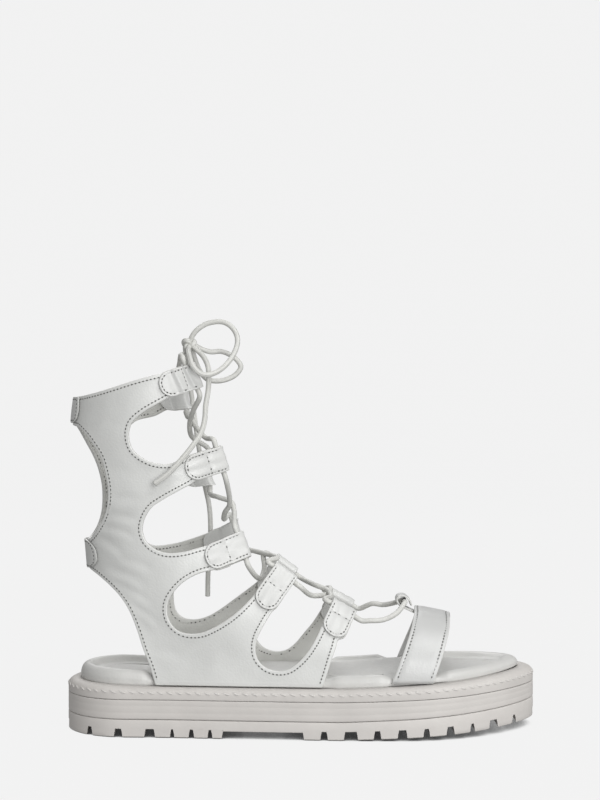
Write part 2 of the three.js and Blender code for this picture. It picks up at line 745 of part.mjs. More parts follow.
// Where a lace leaves a tunnel: two points on its axis, so that it comes out straight.
const leaving = (k, side, upper, seat) => [
  tunnelEnd(k, side, upper, 0.6, seat),
  tunnelEnd(k, side, upper, 4.4, seat),
];

// Two lengths of lace that cross between two rows of tabs, each with the points it passes.
const CROSSINGS = [
  {
    rows: [0, 1],
    fromLateral: [[-61.9, -14, 182.3], [-64.8, -3.2, 174.5], [-64.4, 6, 167]],
    fromMedial: [[-67.5, 7, 181], [-63.6, 0.8, 175.4], [-60, -5, 171.2], [-55, -12, 166.3]],
  },
  {
    rows: [1, 2],
    fromLateral: [[-41.8, -2.6, 127.4], [-44.7, 2.6, 122.6], [-45.6, 9, 118.2]],
    fromMedial: [[-48.9, 6, 131.3], [-40.9, 1.6, 128.6], [-39.3, -2, 124.5]],
  },
  {
    rows: [2, 3],
    fromLateral: [[-24.1, -11, 85.5], [-21.6, 0, 90.6], [-22.4, 6.3, 97.3]],
    fromMedial: [[-31.5, 18, 99.2], [-23.2, 6, 98.6], [-17.2, -3, 98], [-14.2, -12, 97.4]],
  },
  {
    rows: [3, 4],
    fromLateral: [[5.9, -11, 75.8], [15.3, 0.6, 75.6], [16.6, 9, 77.8]],
    fromMedial: [[7.8, 6, 79.9], [14.6, -0.2, 77.8], [16.8, -9, 75.3]],
  },
];
function laceCrossing({ rows, fromLateral, fromMedial }) {
  const [upperRow, lowerRow] = rows;
  const strand = (side, between) => cord([
    ...leaving(upperRow, side, false),
    ...between.map((row) => point(...row)),
    ...leaving(lowerRow, -side, true).reverse(),
  ], 9);
  return joined([strand(-1, fromLateral), strand(1, fromMedial)]);
}

// One length through the toe loop, back on each side to the front end of the lowest
// tab's tunnel.
const TOE_LACE = {
  lateral: [[54.5, -12.5, 66], [46.5, -17.5, 62.8], [39, -20, 62.6]],
  medial: [[55.4, 12, 69], [48, 16.5, 67], [42, 18, 67.5]],
};
function toeLace() {
  return cord([
    ...leaving(4, -1, false),
    ...TOE_LACE.lateral.map((row) => point(...row)).reverse(),
    ...[[-1, 1], [-1, -3], [1, -3], [1, 1]].map(([side, past]) => toeTunnelEnd(side, past)),
    ...TOE_LACE.medial.map((row) => point(...row)),
    ...leaving(4, 1, false).reverse(),
  ], 18);
}

// The knot stands over the gap between the top tabs. Two lengths come up to it, two
// loops and two ends leave it.
const KNOT = { centre: [-65, -6, 220], radii: [4.6, 4.0, 3.6] };
const NECK_SEAT = 6.0;
const NECK = {
  lateral: [[-69.0, -16.5, 213.5], [-68.0, -10.2, 214.3]],
  medial: [[-71.7, 12, 210.5], [-70.2, 1.5, 213.8]],
  top: [-67, -6, 214.8],
};
const LOOP_FRONT = [
  [-62.6, -8.2, 225.4], [-60.4, -8.6, 228.2], [-54.3, -9, 232], [-46.3, -10, 233],
  [-41.5, -11, 231], [-37.6, -13, 226.1], [-36.7, -16, 220.6], [-38.7, -20, 214.1],
  [-42.8, -24, 208], [-47.8, -27.5, 203.9], [-53.2, -30, 202.1], [-57.6, -31.6, 203.2],
  [-61.4, -32, 207.6], [-63.2, -27.5, 212.6], [-64.6, -13.6, 216.4],
];
const LOOP_REAR = [
  [-59.4, -3.2, 218.4], [-57.2, -2.6, 217.2], [-52.7, -2, 215.9], [-46.9, -1, 216.2],
  [-42.2, 0, 214.6], [-38.2, 1, 211.8], [-35.4, 1.5, 207.4], [-38.2, 1.5, 203],
  [-42.8, 1, 200.3], [-49.2, 0, 199], [-54.6, -1, 200], [-58.8, -2, 204.4], [-61.4, -3, 210.4],
  [-62.4, -3.6, 214.2],
];
const END_LATERAL = [
  [-59.8, -8.6, 216.6], [-56.8, -11.5, 213.4], [-53.6, -16.5, 207.5], [-52.8, -21.5, 200.5],
  [-53.0, -24, 193], [-54.3, -25, 185], [-54.8, -26.2, 177], [-56.8, -28.6, 169.4],
  [-61.5, -32, 162], [-68, -34, 154], [-75, -35, 146.6], [-82.4, -35.2, 141],
];
const END_MEDIAL = [
  [-66.8, -0.6, 220.6], [-67.6, 4, 220.4], [-68.5, 13, 217.5], [-68.4, 23, 213], [-67.6, 31, 206.6],
  [-67.6, 36.2, 198.5], [-66.4, 37.6, 190], [-64.5, 37, 176], [-62.4, 35.8, 162],
  [-60.2, 34.6, 149], [-58.2, 33.6, 136.5], [-55.6, 33, 124.3], [-54.8, 33.2, 110],
  [-55.6, 34.2, 97], [-56.4, 35.8, 84], [-56.7, 36.4, 69.5],
];
const route = (rows, steps) => cord(rows.map((row) => point(...row)), steps);

function knot() {
  const lump = new THREE.SphereGeometry(1, 12, 8);
  lump.scale(...KNOT.radii);
  lump.translate(...KNOT.centre);
  return geometryOfSolid(solidOf(lump));
}

// Both lengths that come up from the top tabs, as far as the knot.
function neck() {
  return cord([
    ...leaving(0, -1, true, NECK_SEAT),
    ...NECK.lateral.map((row) => point(...row)),
    point(...NECK.top),
    ...NECK.medial.map((row) => point(...row)).reverse(),
    ...leaving(0, 1, true, NECK_SEAT).reverse(),
  ], 11);
}

// ---------------------------------------------------------------- assembly
const COLOURS = { leather: 0xcfcfcb, lining: 0xc9c8c2, rubber: 0xc6c2bb, lace: 0xc4c4be };
const group = new THREE.Group();
function add(name, geometry, colour, roughness) {
  const material = new THREE.MeshStandardMaterial({ color: colour, roughness, metalness: 0 });
  const mesh = new THREE.Mesh(geometry, material);
  mesh.name = name;
  group.add(mesh);
}

add('outsole', outsole(), COLOURS.rubber, 0.75);
add('midsole', midsole(), COLOURS.rubber, 0.7);
add('welt', welt(), COLOURS.rubber, 0.6);
add('footbed', footbed(), COLOURS.lining, 0.45);
add('upper', upper(), COLOURS.leather, 0.4);
add('collar_back_strip', collarBackStrip(), COLOURS.leather, 0.4);
add('heel_patch', heelPatch(), COLOURS.leather, 0.4);
add('toe_strap', toeStrap(), COLOURS.leather, 0.35);
add('toe_loop', toeLoop(), COLOURS.leather, 0.4);
for (const [side, word] of [[-1, 'lateral'], [1, 'medial']]) {
  for (let k = 0; k < TABS.length; k += 1) {
    add(`loop_tab_${word}_${k + 1}`, loopTab(k, side), COLOURS.leather, 0.35);
  }
}
add('lace_toe', toeLace(), COLOURS.lace, 0.5);
add('lace_neck', neck(), COLOURS.lace, 0.5);
for (const crossing of CROSSINGS) {
  const [upperRow, lowerRow] = crossing.rows;
  const name = `lace_crossing_${upperRow + 1}_${lowerRow + 1}`;
  add(name, laceCrossing(crossing), COLOURS.lace, 0.5);
}
add('bow_knot', knot(), COLOURS.lace, 0.5);
add('bow_loop_front', route(LOOP_FRONT, 13), COLOURS.lace, 0.5);
add('bow_loop_rear', route(LOOP_REAR, 11), COLOURS.lace, 0.5);
add('lace_end_lateral', route(END_LATERAL, 12), COLOURS.lace, 0.5);
add('lace_end_medial', route(END_MEDIAL, 19), COLOURS.lace, 0.5);

export default group;
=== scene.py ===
# Lace-up gladiator sandal, right shoe: the looks of each piece, in the order of assembly.
# Sizes are in millimetres and the meshes in metres. +X is the toe, +Y the medial side.
import math

import bmesh
import bpy
import numpy as np
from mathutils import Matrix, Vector
from mathutils.geometry import delaunay_2d_cdt


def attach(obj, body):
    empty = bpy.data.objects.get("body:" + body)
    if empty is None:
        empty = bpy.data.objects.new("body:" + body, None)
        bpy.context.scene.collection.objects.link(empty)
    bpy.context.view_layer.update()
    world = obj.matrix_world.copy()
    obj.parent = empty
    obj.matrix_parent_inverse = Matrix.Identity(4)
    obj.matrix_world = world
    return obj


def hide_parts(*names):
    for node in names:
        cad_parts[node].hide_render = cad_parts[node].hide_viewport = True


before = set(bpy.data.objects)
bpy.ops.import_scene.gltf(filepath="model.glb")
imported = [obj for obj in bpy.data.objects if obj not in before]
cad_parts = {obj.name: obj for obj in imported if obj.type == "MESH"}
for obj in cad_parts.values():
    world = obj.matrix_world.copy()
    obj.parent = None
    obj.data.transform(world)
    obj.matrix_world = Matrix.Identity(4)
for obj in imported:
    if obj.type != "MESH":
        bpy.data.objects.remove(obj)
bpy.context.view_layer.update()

# ---------------------------------------------------------------- camera
# It looks level along +Y at the outer side of the shoe, from a little under a metre.
camera = bpy.data.objects.new("camera", bpy.data.cameras.new("camera"))
camera.data.sensor_width = 36
camera.data.lens = 72.2
camera.location = (-0.001, -0.932, 0.188)
camera.rotation_euler = (math.radians(90), 0, 0)
bpy.context.scene.collection.objects.link(camera)
bpy.context.scene.camera = camera

# ---------------------------------------------------------------- lace: bow and ends
# A round leather lace 3 mm thick. Above the gap between the two top tabs it is tied in a
# knot with two loops, and its two ends hang down, one outside the shaft on each side.
MM = 0.001
LACE = 3.0
KNOT_CENTRE = np.array([-65.0, -6.0, 220.0])
KNOT_SIZE = 1.2
LOOP_FRONT = [
    [-64.6, -6.6, 221.6], [-62.8, -7.8, 225.2], [-60.2, -8.6, 228.4], [-54.3, -9, 232],
    [-46.3, -10, 233], [-41.5, -11, 231], [-37.6, -13, 226.1], [-36.7, -16, 220.6],
    [-38.7, -20, 214.1], [-42.8, -24, 208], [-47.8, -27.5, 203.9], [-53.2, -30, 202.1],
    [-57.6, -31.6, 203.2], [-61.4, -32, 207.6], [-63.4, -27.0, 212.6], [-65.0, -13.6, 216.6],
    [-65.0, -7.0, 219.0],
]
LOOP_REAR = [
    [-63.6, -5.0, 220.4], [-60.4, -3.4, 218.8], [-57.2, -2.6, 217.2], [-52.7, -2, 215.9],
    [-46.9, -1, 216.2], [-42.2, 0, 214.6], [-38.2, 1, 211.8], [-35.4, 1.5, 207.4],
    [-38.2, 1.5, 203], [-42.8, 1, 200.3], [-49.2, 0, 199], [-54.6, -1, 200], [-58.8, -2, 204.4],
    [-61.4, -3, 210.4], [-63.0, -3.8, 215.2], [-64.2, -4.8, 218.6],
]
END_LATERAL = [
    [-63.4, -6.6, 219.6], [-60.4, -8.6, 216.8], [-56.8, -11.5, 213.4], [-53.6, -16.5, 207.5],
    [-52.8, -21.5, 200.5], [-53.0, -24, 193], [-54.3, -25, 185], [-54.8, -26.2, 177],
    [-56.8, -28.6, 169.4], [-61.5, -32, 162], [-68, -34, 154], [-75, -35, 146.6],
    [-82.4, -35.2, 141],
]
END_MEDIAL = [
    [-65.6, -4.6, 221.0], [-66.8, -0.6, 220.8], [-67.6, 4, 220.4], [-68.5, 13, 217.5],
    [-68.4, 23, 213], [-67.6, 31, 206.6], [-67.6, 36.2, 198.5], [-66.4, 37.6, 190],
    [-64.5, 37, 176], [-62.4, 35.8, 162], [-60.2, 34.6, 149], [-58.2, 33.6, 136.5],
    [-55.6, 33, 124.3], [-54.8, 33.2, 110], [-55.6, 34.2, 97], [-56.4, 35.8, 84],
    [-56.7, 36.4, 69.5],
]


def unit(vectors):
    """Each vector divided by its own length."""
    return vectors / np.maximum(np.linalg.norm(vectors, axis=-1, keepdims=True), 1e-12)


def smooth_through(points, per_gap=12, power=0.5):
    """A Catmull-Rom curve through the points, its knots spaced by chord to a power."""
    rows = np.asarray(points, float)
    rows = np.vstack([2 * rows[0] - rows[1], rows, 2 * rows[-1] - rows[-2]])
    knot = np.linalg.norm(np.diff(rows, axis=0), axis=1) ** power
    knot = np.concatenate([[0], np.cumsum(np.maximum(knot, 1e-6))])
    curve = []
    for i in range(1, len(rows) - 2):
        t = knot[i] + (knot[i + 1] - knot[i]) * (np.arange(per_gap) / per_gap)[:, None]

        def between(a, b, low, high):
            return (a * (knot[high] - t) + b * (t - knot[low])) / (knot[high] - knot[low])

        first = between(rows[i - 1], rows[i], i - 1, i)
        second = between(rows[i], rows[i + 1], i, i + 1)
        third = between(rows[i + 1], rows[i + 2], i + 1, i + 2)
        left = between(first, second, i - 1, i + 1)
        right = between(second, third, i, i + 2)
        curve.append(between(left, right, i, i + 1))
    return np.vstack([*curve, rows[-2:-1]])


def length_along(path):
    """Distance from the start of a path to each of its points."""
    return np.concatenate([[0], np.cumsum(np.linalg.norm(np.diff(path, axis=0), axis=1))])


def evenly(path, spacing):
    """The path again, with its points at even distances close to the spacing."""
    along = length_along(path)
    count = max(int(round(along[-1] / spacing)), 2)
    at = np.linspace(0, along[-1], count + 1)
    return np.stack([np.interp(at, along, path[:, k]) for k in range(path.shape[1])], axis=1)


def grid_faces(rows, columns, wrap=False, start=0):
    """Quads over a grid of points stored row by row; wrap closes each row on itself."""
    across = np.arange(columns if wrap else columns - 1)
    i, j = np.meshgrid(np.arange(rows - 1), across, indexing="ij")
    k = (j + 1) % columns
    quads = [i * columns + j, i * columns + k, (i + 1) * columns + k, (i + 1) * columns + j]
    return np.stack(quads, axis=-1).reshape(-1, 4) + start


def new_piece(name, points, faces, materials, attributes=None, face_material=None):
    """A mesh piece from points in millimetres and one or more arrays of faces, on the shoe."""
    mesh = bpy.data.meshes.new(name)
    groups = [np.asarray(group) for group in faces]
    corners = np.concatenate([group.ravel() for group in groups])
    sizes = np.concatenate([np.full(len(group), group.shape[1]) for group in groups])
    mesh.vertices.add(len(points))
    mesh.vertices.foreach_set("co", (np.asarray(points) * MM).astype(np.float32).ravel())
    mesh.loops.add(len(corners))
    mesh.loops.foreach_set("vertex_index", corners.astype(np.int32))
    mesh.polygons.add(len(sizes))
    starts = np.concatenate([[0], np.cumsum(sizes)[:-1]])
    mesh.polygons.foreach_set("loop_start", starts.astype(np.int32))
    mesh.polygons.foreach_set("use_smooth", np.ones(len(sizes), bool))
    if face_material is not None:
        mesh.polygons.foreach_set("material_index", face_material.astype(np.int32))
    for key, values in (attributes or {}).items():
        layer = mesh.attributes.new(key, "FLOAT", "POINT")
        layer.data.foreach_set("value", np.asarray(values, np.float32))
    mesh.update(calc_edges=True)
    for material in materials:
        mesh.materials.append(material)
    piece = bpy.data.objects.new(name, mesh)
    bpy.context.scene.collection.objects.link(piece)
    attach(piece, "root")
    return piece


def turning_frames(path):
    """Direction, side and up at each point of a path, with no twist from one to the next."""
    direction = unit(np.gradient(path, axis=0))
    side = np.zeros_like(direction)
    first = np.cross(direction[0], [0.31, 0.87, 0.38])
    side[0] = first / np.linalg.norm(first)
    for i in range(1, len(path)):
        kept = side[i - 1] - direction[i] * np.dot(side[i - 1], direction[i])
        side[i] = kept / np.linalg.norm(kept)
    return direction, side, np.cross(direction, side)


def tube(path, radius, sides=16, edge=0.35):
    """Rings round a path. Each end closes over a small rounded edge onto its middle point."""
    direction, side, up = turning_frames(path)
    angle = np.arange(sides) * 2 * np.pi / sides
    circle = side[:, None] * np.cos(angle)[:, None] + up[:, None] * np.sin(angle)[:, None]
    rings = path[:, None] + radius * circle
    caps = [(0.001, 0), (0.7, 0), (1 - edge * 0.35, edge * 0.2)]
    head = [path[0] + radius * share * circle[0] + direction[0] * inward for share, inward in caps]
    tail = [path[-1] + radius * share * circle[-1] - direction[-1] * inward
            for share, inward in caps[::-1]]
    rings[0] += direction[0] * edge
    rings[-1] -= direction[-1] * edge
    stack = np.concatenate([head, rings, tail])
    faces = grid_faces(len(stack), sides, wrap=True)
    return stack.reshape(-1, 3), faces, {"round": np.tile(np.cos(angle), len(stack))}


def node(tree, kind, **settings):
    """A new node with its settings; a setting whose name is a socket goes to that socket."""
    made = tree.nodes.new(kind)
    for key, value in settings.items():
        if hasattr(made, key):
            setattr(made, key, value)
        else:
            made.inputs[key.replace("_", " ")].default_value = value
    return made


def wire(tree, *pairs):
    """Links each pair of an output and an input."""
    for output, into in pairs:
        tree.links.new(output, into)


def plain_material(name, colour, roughness):
    """A material whose Principled shader has this colour and roughness."""
    material = bpy.data.materials.new(name)
    material.use_nodes = True
    tree = material.node_tree
    shader = tree.nodes["Principled BSDF"]
    shader.inputs["Base Color"].default_value = (*colour, 1)
    shader.inputs["Roughness"].default_value = roughness
    return material, tree, shader


def toned(tree, shader, colour, tone):
    """Multiplies the colour by a tone that changes over the surface; returns the result."""
    tint = node(tree, "ShaderNodeMix", data_type="RGBA", blend_type="MULTIPLY")
    tint.inputs["Factor"].default_value = 1.0
    tint.inputs["A"].default_value = (*colour, 1)
    wire(tree, (tone, tint.inputs["B"]), (tint.outputs["Result"], shader.inputs["Base Color"]))
    return tint.outputs["Result"]


def surface_group(name, numbers, outputs):
    """An empty node group with number inputs and the outputs named."""
    group = bpy.data.node_groups.new(name, "ShaderNodeTree")
    for label, value in numbers.items():
        socket = group.interface.new_socket(label, in_out="INPUT", socket_type="NodeSocketFloat")
        socket.default_value = value
    for label in outputs:
        kind = "NodeSocketColor" if label == "Colour" else "NodeSocketFloat"
        group.interface.new_socket(label, in_out="OUTPUT", socket_type=kind)
    return group, group.nodes.new("NodeGroupInput"), group.nodes.new("NodeGroupOutput")


def make_grain_group():
    """Leather grain: fine closed cells over slow unevenness, as a height, a tone and a gloss."""
    numbers = {"Cells": 900.0, "Cell depth": 0.25, "Slow size": 45.0, "Slow depth": 0.6}
    group, taken, given = surface_group("leather_grain", numbers, ["Height", "Tone", "Gloss"])
    place = node(group, "ShaderNodeTexCoord")
    cells = node(group, "ShaderNodeTexVoronoi", feature="SMOOTH_F1", Smoothness=0.6)
    fibres = node(group, "ShaderNodeTexNoise", Detail=3.0, Roughness=0.6)
    double = node(group, "ShaderNodeMath", operation="MULTIPLY")
    double.inputs[1].default_value = 0.5
    slow = node(group, "ShaderNodeTexNoise", Detail=2.5, Roughness=0.5, Distortion=0.4)
    cell_part = node(group, "ShaderNodeMath", operation="MULTIPLY")
    fine = node(group, "ShaderNodeMath", operation="MULTIPLY_ADD")
    slow_part = node(group, "ShaderNodeMath", operation="MULTIPLY_ADD")
    tone = node(group, "ShaderNodeMapRange", From_Min=0.3, From_Max=0.7, To_Min=0.95, To_Max=1.04)
    gloss = node(group, "ShaderNodeMapRange", From_Min=0.3, From_Max=0.7, To_Min=0.84, To_Max=1.2)
    wire(
        group,
        (place.outputs["Object"], cells.inputs["Vector"]),
        (place.outputs["Object"], fibres.inputs["Vector"]),
        (place.outputs["Object"], slow.inputs["Vector"]),
        (taken.outputs["Cells"], cells.inputs["Scale"]),
        (taken.outputs["Cells"], double.inputs[0]),
        (double.outputs[0], fibres.inputs["Scale"]),
        (taken.outputs["Slow size"], slow.inputs["Scale"]),
        (cells.outputs["Distance"], cell_part.inputs[0]),
        (taken.outputs["Cell depth"], cell_part.inputs[1]),
        (fibres.outputs["Fac"], fine.inputs[0]),
        (taken.outputs["Cell depth"], fine.inputs[1]),
        (cell_part.outputs[0], fine.inputs[2]),
        (slow.outputs["Fac"], slow_part.inputs[0]),
        (taken.outputs["Slow depth"], slow_part.inputs[1]),
        (fine.outputs[0], slow_part.inputs[2]),
        (slow_part.outputs[0], given.inputs["Height"]),
        (slow.outputs["Fac"], tone.inputs["Value"]),
        (tone.outputs[0], given.inputs["Tone"]),
        (fibres.outputs["Fac"], gloss.inputs["Value"]),
        (gloss.outputs[0], given.inputs["Gloss"]),
    )
    return group


grain_group = make_grain_group()


def grained(name, colour, roughness, bump, cells=900.0, cell_depth=0.25, slow_size=45.0,
            slow_depth=0.6):
    """A leather material: the grain group sets height, tone and gloss; returns its nodes."""
    material, tree, shader = plain_material(name, colour, roughness)
    grain = tree.nodes.new("ShaderNodeGroup")
    grain.node_tree = grain_group
    sizes = {"Cells": cells, "Cell depth": cell_depth, "Slow size": slow_size,
             "Slow depth": slow_depth}
    for label, value in sizes.items():
        grain.inputs[label].default_value = value
    tint = toned(tree, shader, colour, grain.outputs["Tone"])
    rough = node(tree, "ShaderNodeMath", operation="MULTIPLY")
    rough.inputs[1].default_value = roughness
    relief = node(tree, "ShaderNodeBump", Strength=1.0, Distance=bump * MM)
    wire(
        tree,
        (grain.outputs["Gloss"], rough.inputs[0]),
        (rough.outputs[0], shader.inputs["Roughness"]),
        (grain.outputs["Height"], relief.inputs["Height"]),
        (relief.outputs["Normal"], shader.inputs["Normal"]),
    )
    return material, tree, shader, grain, tint, relief


def make_lace_material():
    """The lace's leather: its strip is rolled round, so a fine seam runs along one side."""
    material, tree, shader, grain, tint, relief = grained(
        "lace_leather", (0.56, 0.56, 0.535), 0.5, 0.25, cells=700.0, slow_size=160.0)
    shader.inputs["Specular IOR Level"].default_value = 0.4
    turn = node(tree, "ShaderNodeAttribute", attribute_name="round")
    seam = node(tree, "ShaderNodeMapRange", From_Min=0.965, From_Max=1.0, To_Min=0.0, To_Max=0.45)
    height = node(tree, "ShaderNodeMath", operation="SUBTRACT")
    dark = node(tree, "ShaderNodeMix", data_type="RGBA", blend_type="MULTIPLY")
    dark.inputs["B"].default_value = (0.55, 0.55, 0.54, 1)
    wire(
        tree,
        (turn.outputs["Fac"], seam.inputs["Value"]),
        (grain.outputs["Height"], height.inputs[0]),
        (seam.outputs[0], height.inputs[1]),
        (height.outputs[0], relief.inputs["Height"]),
        (seam.outputs[0], dark.inputs["Factor"]),
        (tint, dark.inputs["A"]),
        (dark.outputs["Result"], shader.inputs["Base Color"]),
    )
    return material


lace_leather = make_lace_material()


def free_lace(name, route):
    """A free length of lace along its route."""
    path = evenly(smooth_through(route), 1.0)
    points, faces, marks = tube(path, LACE / 2)
    piece = new_piece(name, points, [faces], [lace_leather], marks)
    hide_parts(name)


free_lace("bow_loop_front", LOOP_FRONT)
free_lace("bow_loop_rear", LOOP_REAR)
free_lace("lace_end_lateral", END_LATERAL)
free_lace("lace_end_medial", END_MEDIAL)


def knot_path(count=160):
    """A closed three-lobed knot: a double loop that passes over and under itself."""
    t = np.linspace(0, 2 * np.pi, count)
    across = np.sin(t) + 2 * np.sin(2 * t)
    height = np.cos(t) - 2 * np.cos(2 * t)
    depth = -1.5 * np.sin(3 * t)
    return KNOT_CENTRE + KNOT_SIZE * np.stack([across * 0.92, depth, height * 0.92], axis=1)


knot_points, knot_faces, knot_marks = tube(knot_path(), LACE / 2)
knot = new_piece("bow_knot", knot_points, [knot_faces], [lace_leather], knot_marks)
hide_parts("bow_knot")

# ---------------------------------------------------------------- outsole
# Light rubber, moulded with cross lugs under heel and forefoot and a low arch between.
# Its edge is vertical, and the toe springs up a little.
SOLE_LENGTH = 270.0
BACK = -SOLE_LENGTH / 2
TIP = SOLE_LENGTH / 2
HEEL_ROUND = 36.0
TOE_ROUND = 78.0
TOE_TURN = 7.0
SEAM = 0.3
TREAD_DEPTH = 4.6
ARCH_DEPTH = 4.0
SOLE = np.array([
    # x, lateral, medial
    [-135, 37.0, 36.5], [-100, 38.0, 37.0], [-74, 39.3, 37.5], [-45, 42.0, 37.8],
    [-10, 45.0, 39.5], [20, 47.2, 43.0], [45, 48.8, 46.3], [65, 49.4, 47.6],
    [90, 47.6, 47.2], [115, 43.0, 45.4], [135, 38.0, 43.0],
])
GROOVES = [
    # from x, to x
    [-120.6, -117.6], [-104.7, -100.2], [-87.6, -81.9], [-73.2, -71.1], [-62.8, -60.0],
    [-52.2, -49.8], [-44.2, 1.0], [10.4, 14.2], [23.4, 30.8], [39.8, 43.6], [53.0, 58.0],
    [67.2, 70.6], [80.2, 84.5], [93.8, 96.3], [105.2, 110.2], [119.6, 121.8],
]


def mix(a, b, share):
    """From a to b by a share."""
    return a + (b - a) * share


def soft_step(share):
    """0 below 0, 1 above 1, and a smooth rise between."""
    s = np.clip(share, 0, 1)
    return s * s * (3 - 2 * s)


def column(table, index, at):
    """A smooth curve through one column of a table, by cubic Hermite pieces."""
    x, y = table[:, 0], table[:, index]
    gap = np.diff(x)
    slope = np.diff(y) / gap
    inner = (slope[:-1] * gap[1:] + slope[1:] * gap[:-1]) / (gap[:-1] + gap[1:])
    tangent = np.concatenate([slope[:1], inner, slope[-1:]])
    at = np.clip(at, x[0], x[-1])
    i = np.clip(np.searchsorted(x, at, side="right") - 1, 0, len(x) - 2)
    t = (at - x[i]) / gap[i]
    bend = t * (1 - t) ** 2 * tangent[i] - t * t * (1 - t) * tangent[i + 1]
    return mix(y[i], y[i + 1], t * t * (3 - 2 * t)) + gap[i] * bend


def spring(x):
    """How far the toe has sprung up at x."""
    return 5.0 * np.clip((x - 20.0) / 115.0, 0, 1) ** 1.15


def groove_line(x):
    """Height of the line between outsole and midsole."""
    return 10 + 1.25 * spring(x)


def welt_foot(x):
    """Height of the line between midsole and welt."""
    return 20.9 + 0.9 * spring(x)


def welt_top(x):
    """Height of the welt's flat top."""
    return 27.3 + 1.25 * spring(x) + 0.9 * soft_step((-70 - x) / 50)


def sole_turn(x):
    """How far the forefoot's middle has swung to the medial side."""
    return TOE_TURN * np.clip((x - 20) / 115, 0, 1) ** 2


def sole_edge(x, side):
    """The sole's edge on a side: the table's half width, closed by two rounded ends."""
    heel = np.clip((BACK + HEEL_ROUND - x) / HEEL_ROUND, 0, 1)
    toe = np.clip((x - (TIP - TOE_ROUND)) / TOE_ROUND, 0, 1)
    ends = np.sqrt(1 - heel * heel) * np.sqrt(1 - toe ** 2.3)
    width = np.where(np.asarray(side) < 0, column(SOLE, 1, x), column(SOLE, 2, x))
    return sole_turn(x) + side * width * ends


RING_STEPS = 150


def sole_ring(inset, height):
    """The outline moved inwards by inset(x) at height(x), once round from the heel."""
    turn = np.arange(2 * RING_STEPS) / RING_STEPS

    def at(angle):
        wrapped = np.mod(angle, 2)
        share = np.where(wrapped <= 1, wrapped, 2 - wrapped)
        x = BACK + SOLE_LENGTH * (1 - np.cos(np.pi * share)) / 2
        return np.stack([x, sole_edge(x, np.where(wrapped <= 1, -1, 1))], axis=1)

    place = at(turn)
    run = unit(at(turn + 0.004) - at(turn - 0.004))
    x = place[:, 0]
    depth = inset(x) if callable(inset) else inset
    return np.stack([x - run[:, 1] * depth, place[:, 1] + run[:, 0] * depth, height(x)], axis=1)


def ring_piece(name, rings, materials, roof=None, columns=24):
    """Rings joined upwards, closed below and above by grids between their two halves."""
    stack = np.asarray(rings)
    count = stack.shape[1]
    points = [stack.reshape(-1, 3)]
    faces = [grid_faces(len(stack), count, wrap=True)]
    start = stack.shape[0] * count
    for ring, shape, up in ((stack[0], None, False), (stack[-1], roof, True)):
        half = count // 2
        lateral = ring[:half + 1]
        medial = ring[(-np.arange(half + 1)) % count]
        share = np.linspace(0, 1, columns + 1)[None, :, None]
        grid = mix(lateral[:, None], medial[:, None], share)
        if shape is not None:
            grid = shape(grid)
        quads = grid_faces(half + 1, columns + 1, start=start)
        faces.append(quads if up else quads[:, ::-1])
        points.append(grid.reshape(-1, 3))
        start += grid.shape[0] * grid.shape[1]
    return new_piece(name, np.concatenate(points), faces, materials)


def merge_close(piece, distance=0.004):
    """Joins points that lie on one another, so that shading runs on over the joints."""
    work = bmesh.new()
    work.from_mesh(piece.data)
    bmesh.ops.remove_doubles(work, verts=work.verts, dist=distance * MM)
    bmesh.ops.dissolve_degenerate(work, edges=work.edges, dist=distance * MM)
    work.to_mesh(piece.data)
    work.free()


def make_rubber_material(name, colour, roughness):
    """Moulded light rubber: matt, with a fine orange-peel surface and faint dusty clouds."""
    material, tree, shader = plain_material(name, colour, roughness)
    place = node(tree, "ShaderNodeTexCoord")
    fine = node(tree, "ShaderNodeTexNoise", Scale=1500.0, Detail=2.0)
    clouds = node(tree, "ShaderNodeTexNoise", Scale=60.0, Detail=4.0, Roughness=0.6)
    tone = node(tree, "ShaderNodeMapRange", From_Min=0.3, From_Max=0.7, To_Min=0.95, To_Max=1.03)
    relief = node(tree, "ShaderNodeBump", Strength=0.6, Distance=0.06 * MM)
    toned(tree, shader, colour, tone.outputs[0])
    wire(
        tree,
        (place.outputs["Object"], fine.inputs["Vector"]),
        (place.outputs["Object"], clouds.inputs["Vector"]),
        (clouds.outputs["Fac"], tone.inputs["Value"]),
        (fine.outputs["Fac"], relief.inputs["Height"]),
        (relief.outputs["Normal"], shader.inputs["Normal"]),
    )
    return material


sole_rubber = make_rubber_material("sole_rubber", (0.53, 0.508, 0.485), 0.55)


def tread_roof(x):
    """Height of the tread's roof between the lugs, a little lower over the arch."""
    arch = soft_step((x + 47) / 2) * soft_step((3.5 - x) / 2)
    return spring(x) + TREAD_DEPTH - (TREAD_DEPTH - ARCH_DEPTH) * arch


def lug_block(start_x, end_x, low_lean, high_lean):
    """One lug across the sole: a ring of edge points at each level, and a flat foot."""
    steps = max(int((end_x - start_x) / 1.2), 4)
    levels = [
        # height, share of the lean, inset at the sides, inset at the ends
        (0.0, 0.0, 0.9, 0.35), (0.18, 0.0, 0.35, 0.0), (0.6, 0.35, 0.0, 0.0),
        (TREAD_DEPTH * 0.55, 0.55, 0.0, 0.0), (TREAD_DEPTH * 0.85, 0.85, 0.0, 0.0),
        (TREAD_DEPTH * 1.08, 1.08, 0.0, 0.0),
    ]
    rings = []
    for height, share, inset, pull in levels:
        lean = share - 0.5 - pull
        x = np.linspace(start_x - lean * low_lean, end_x + lean * high_lean, steps)
        z = spring(x) + height
        lateral = np.stack([x, sole_edge(x, -1) + inset, z], axis=1)
        medial = np.stack([x, sole_edge(x, 1) - inset, z], axis=1)
        rings.append(np.concatenate([lateral, medial[::-1]]))
    stack = np.asarray(rings)
    count = stack.shape[1]
    sides = grid_faces(len(stack), count, wrap=True)
    i = np.arange(steps - 1)
    foot = np.stack([i, count - 1 - i, count - 2 - i, i + 1], axis=1)
    return stack.reshape(-1, 3), np.concatenate([sides, foot])


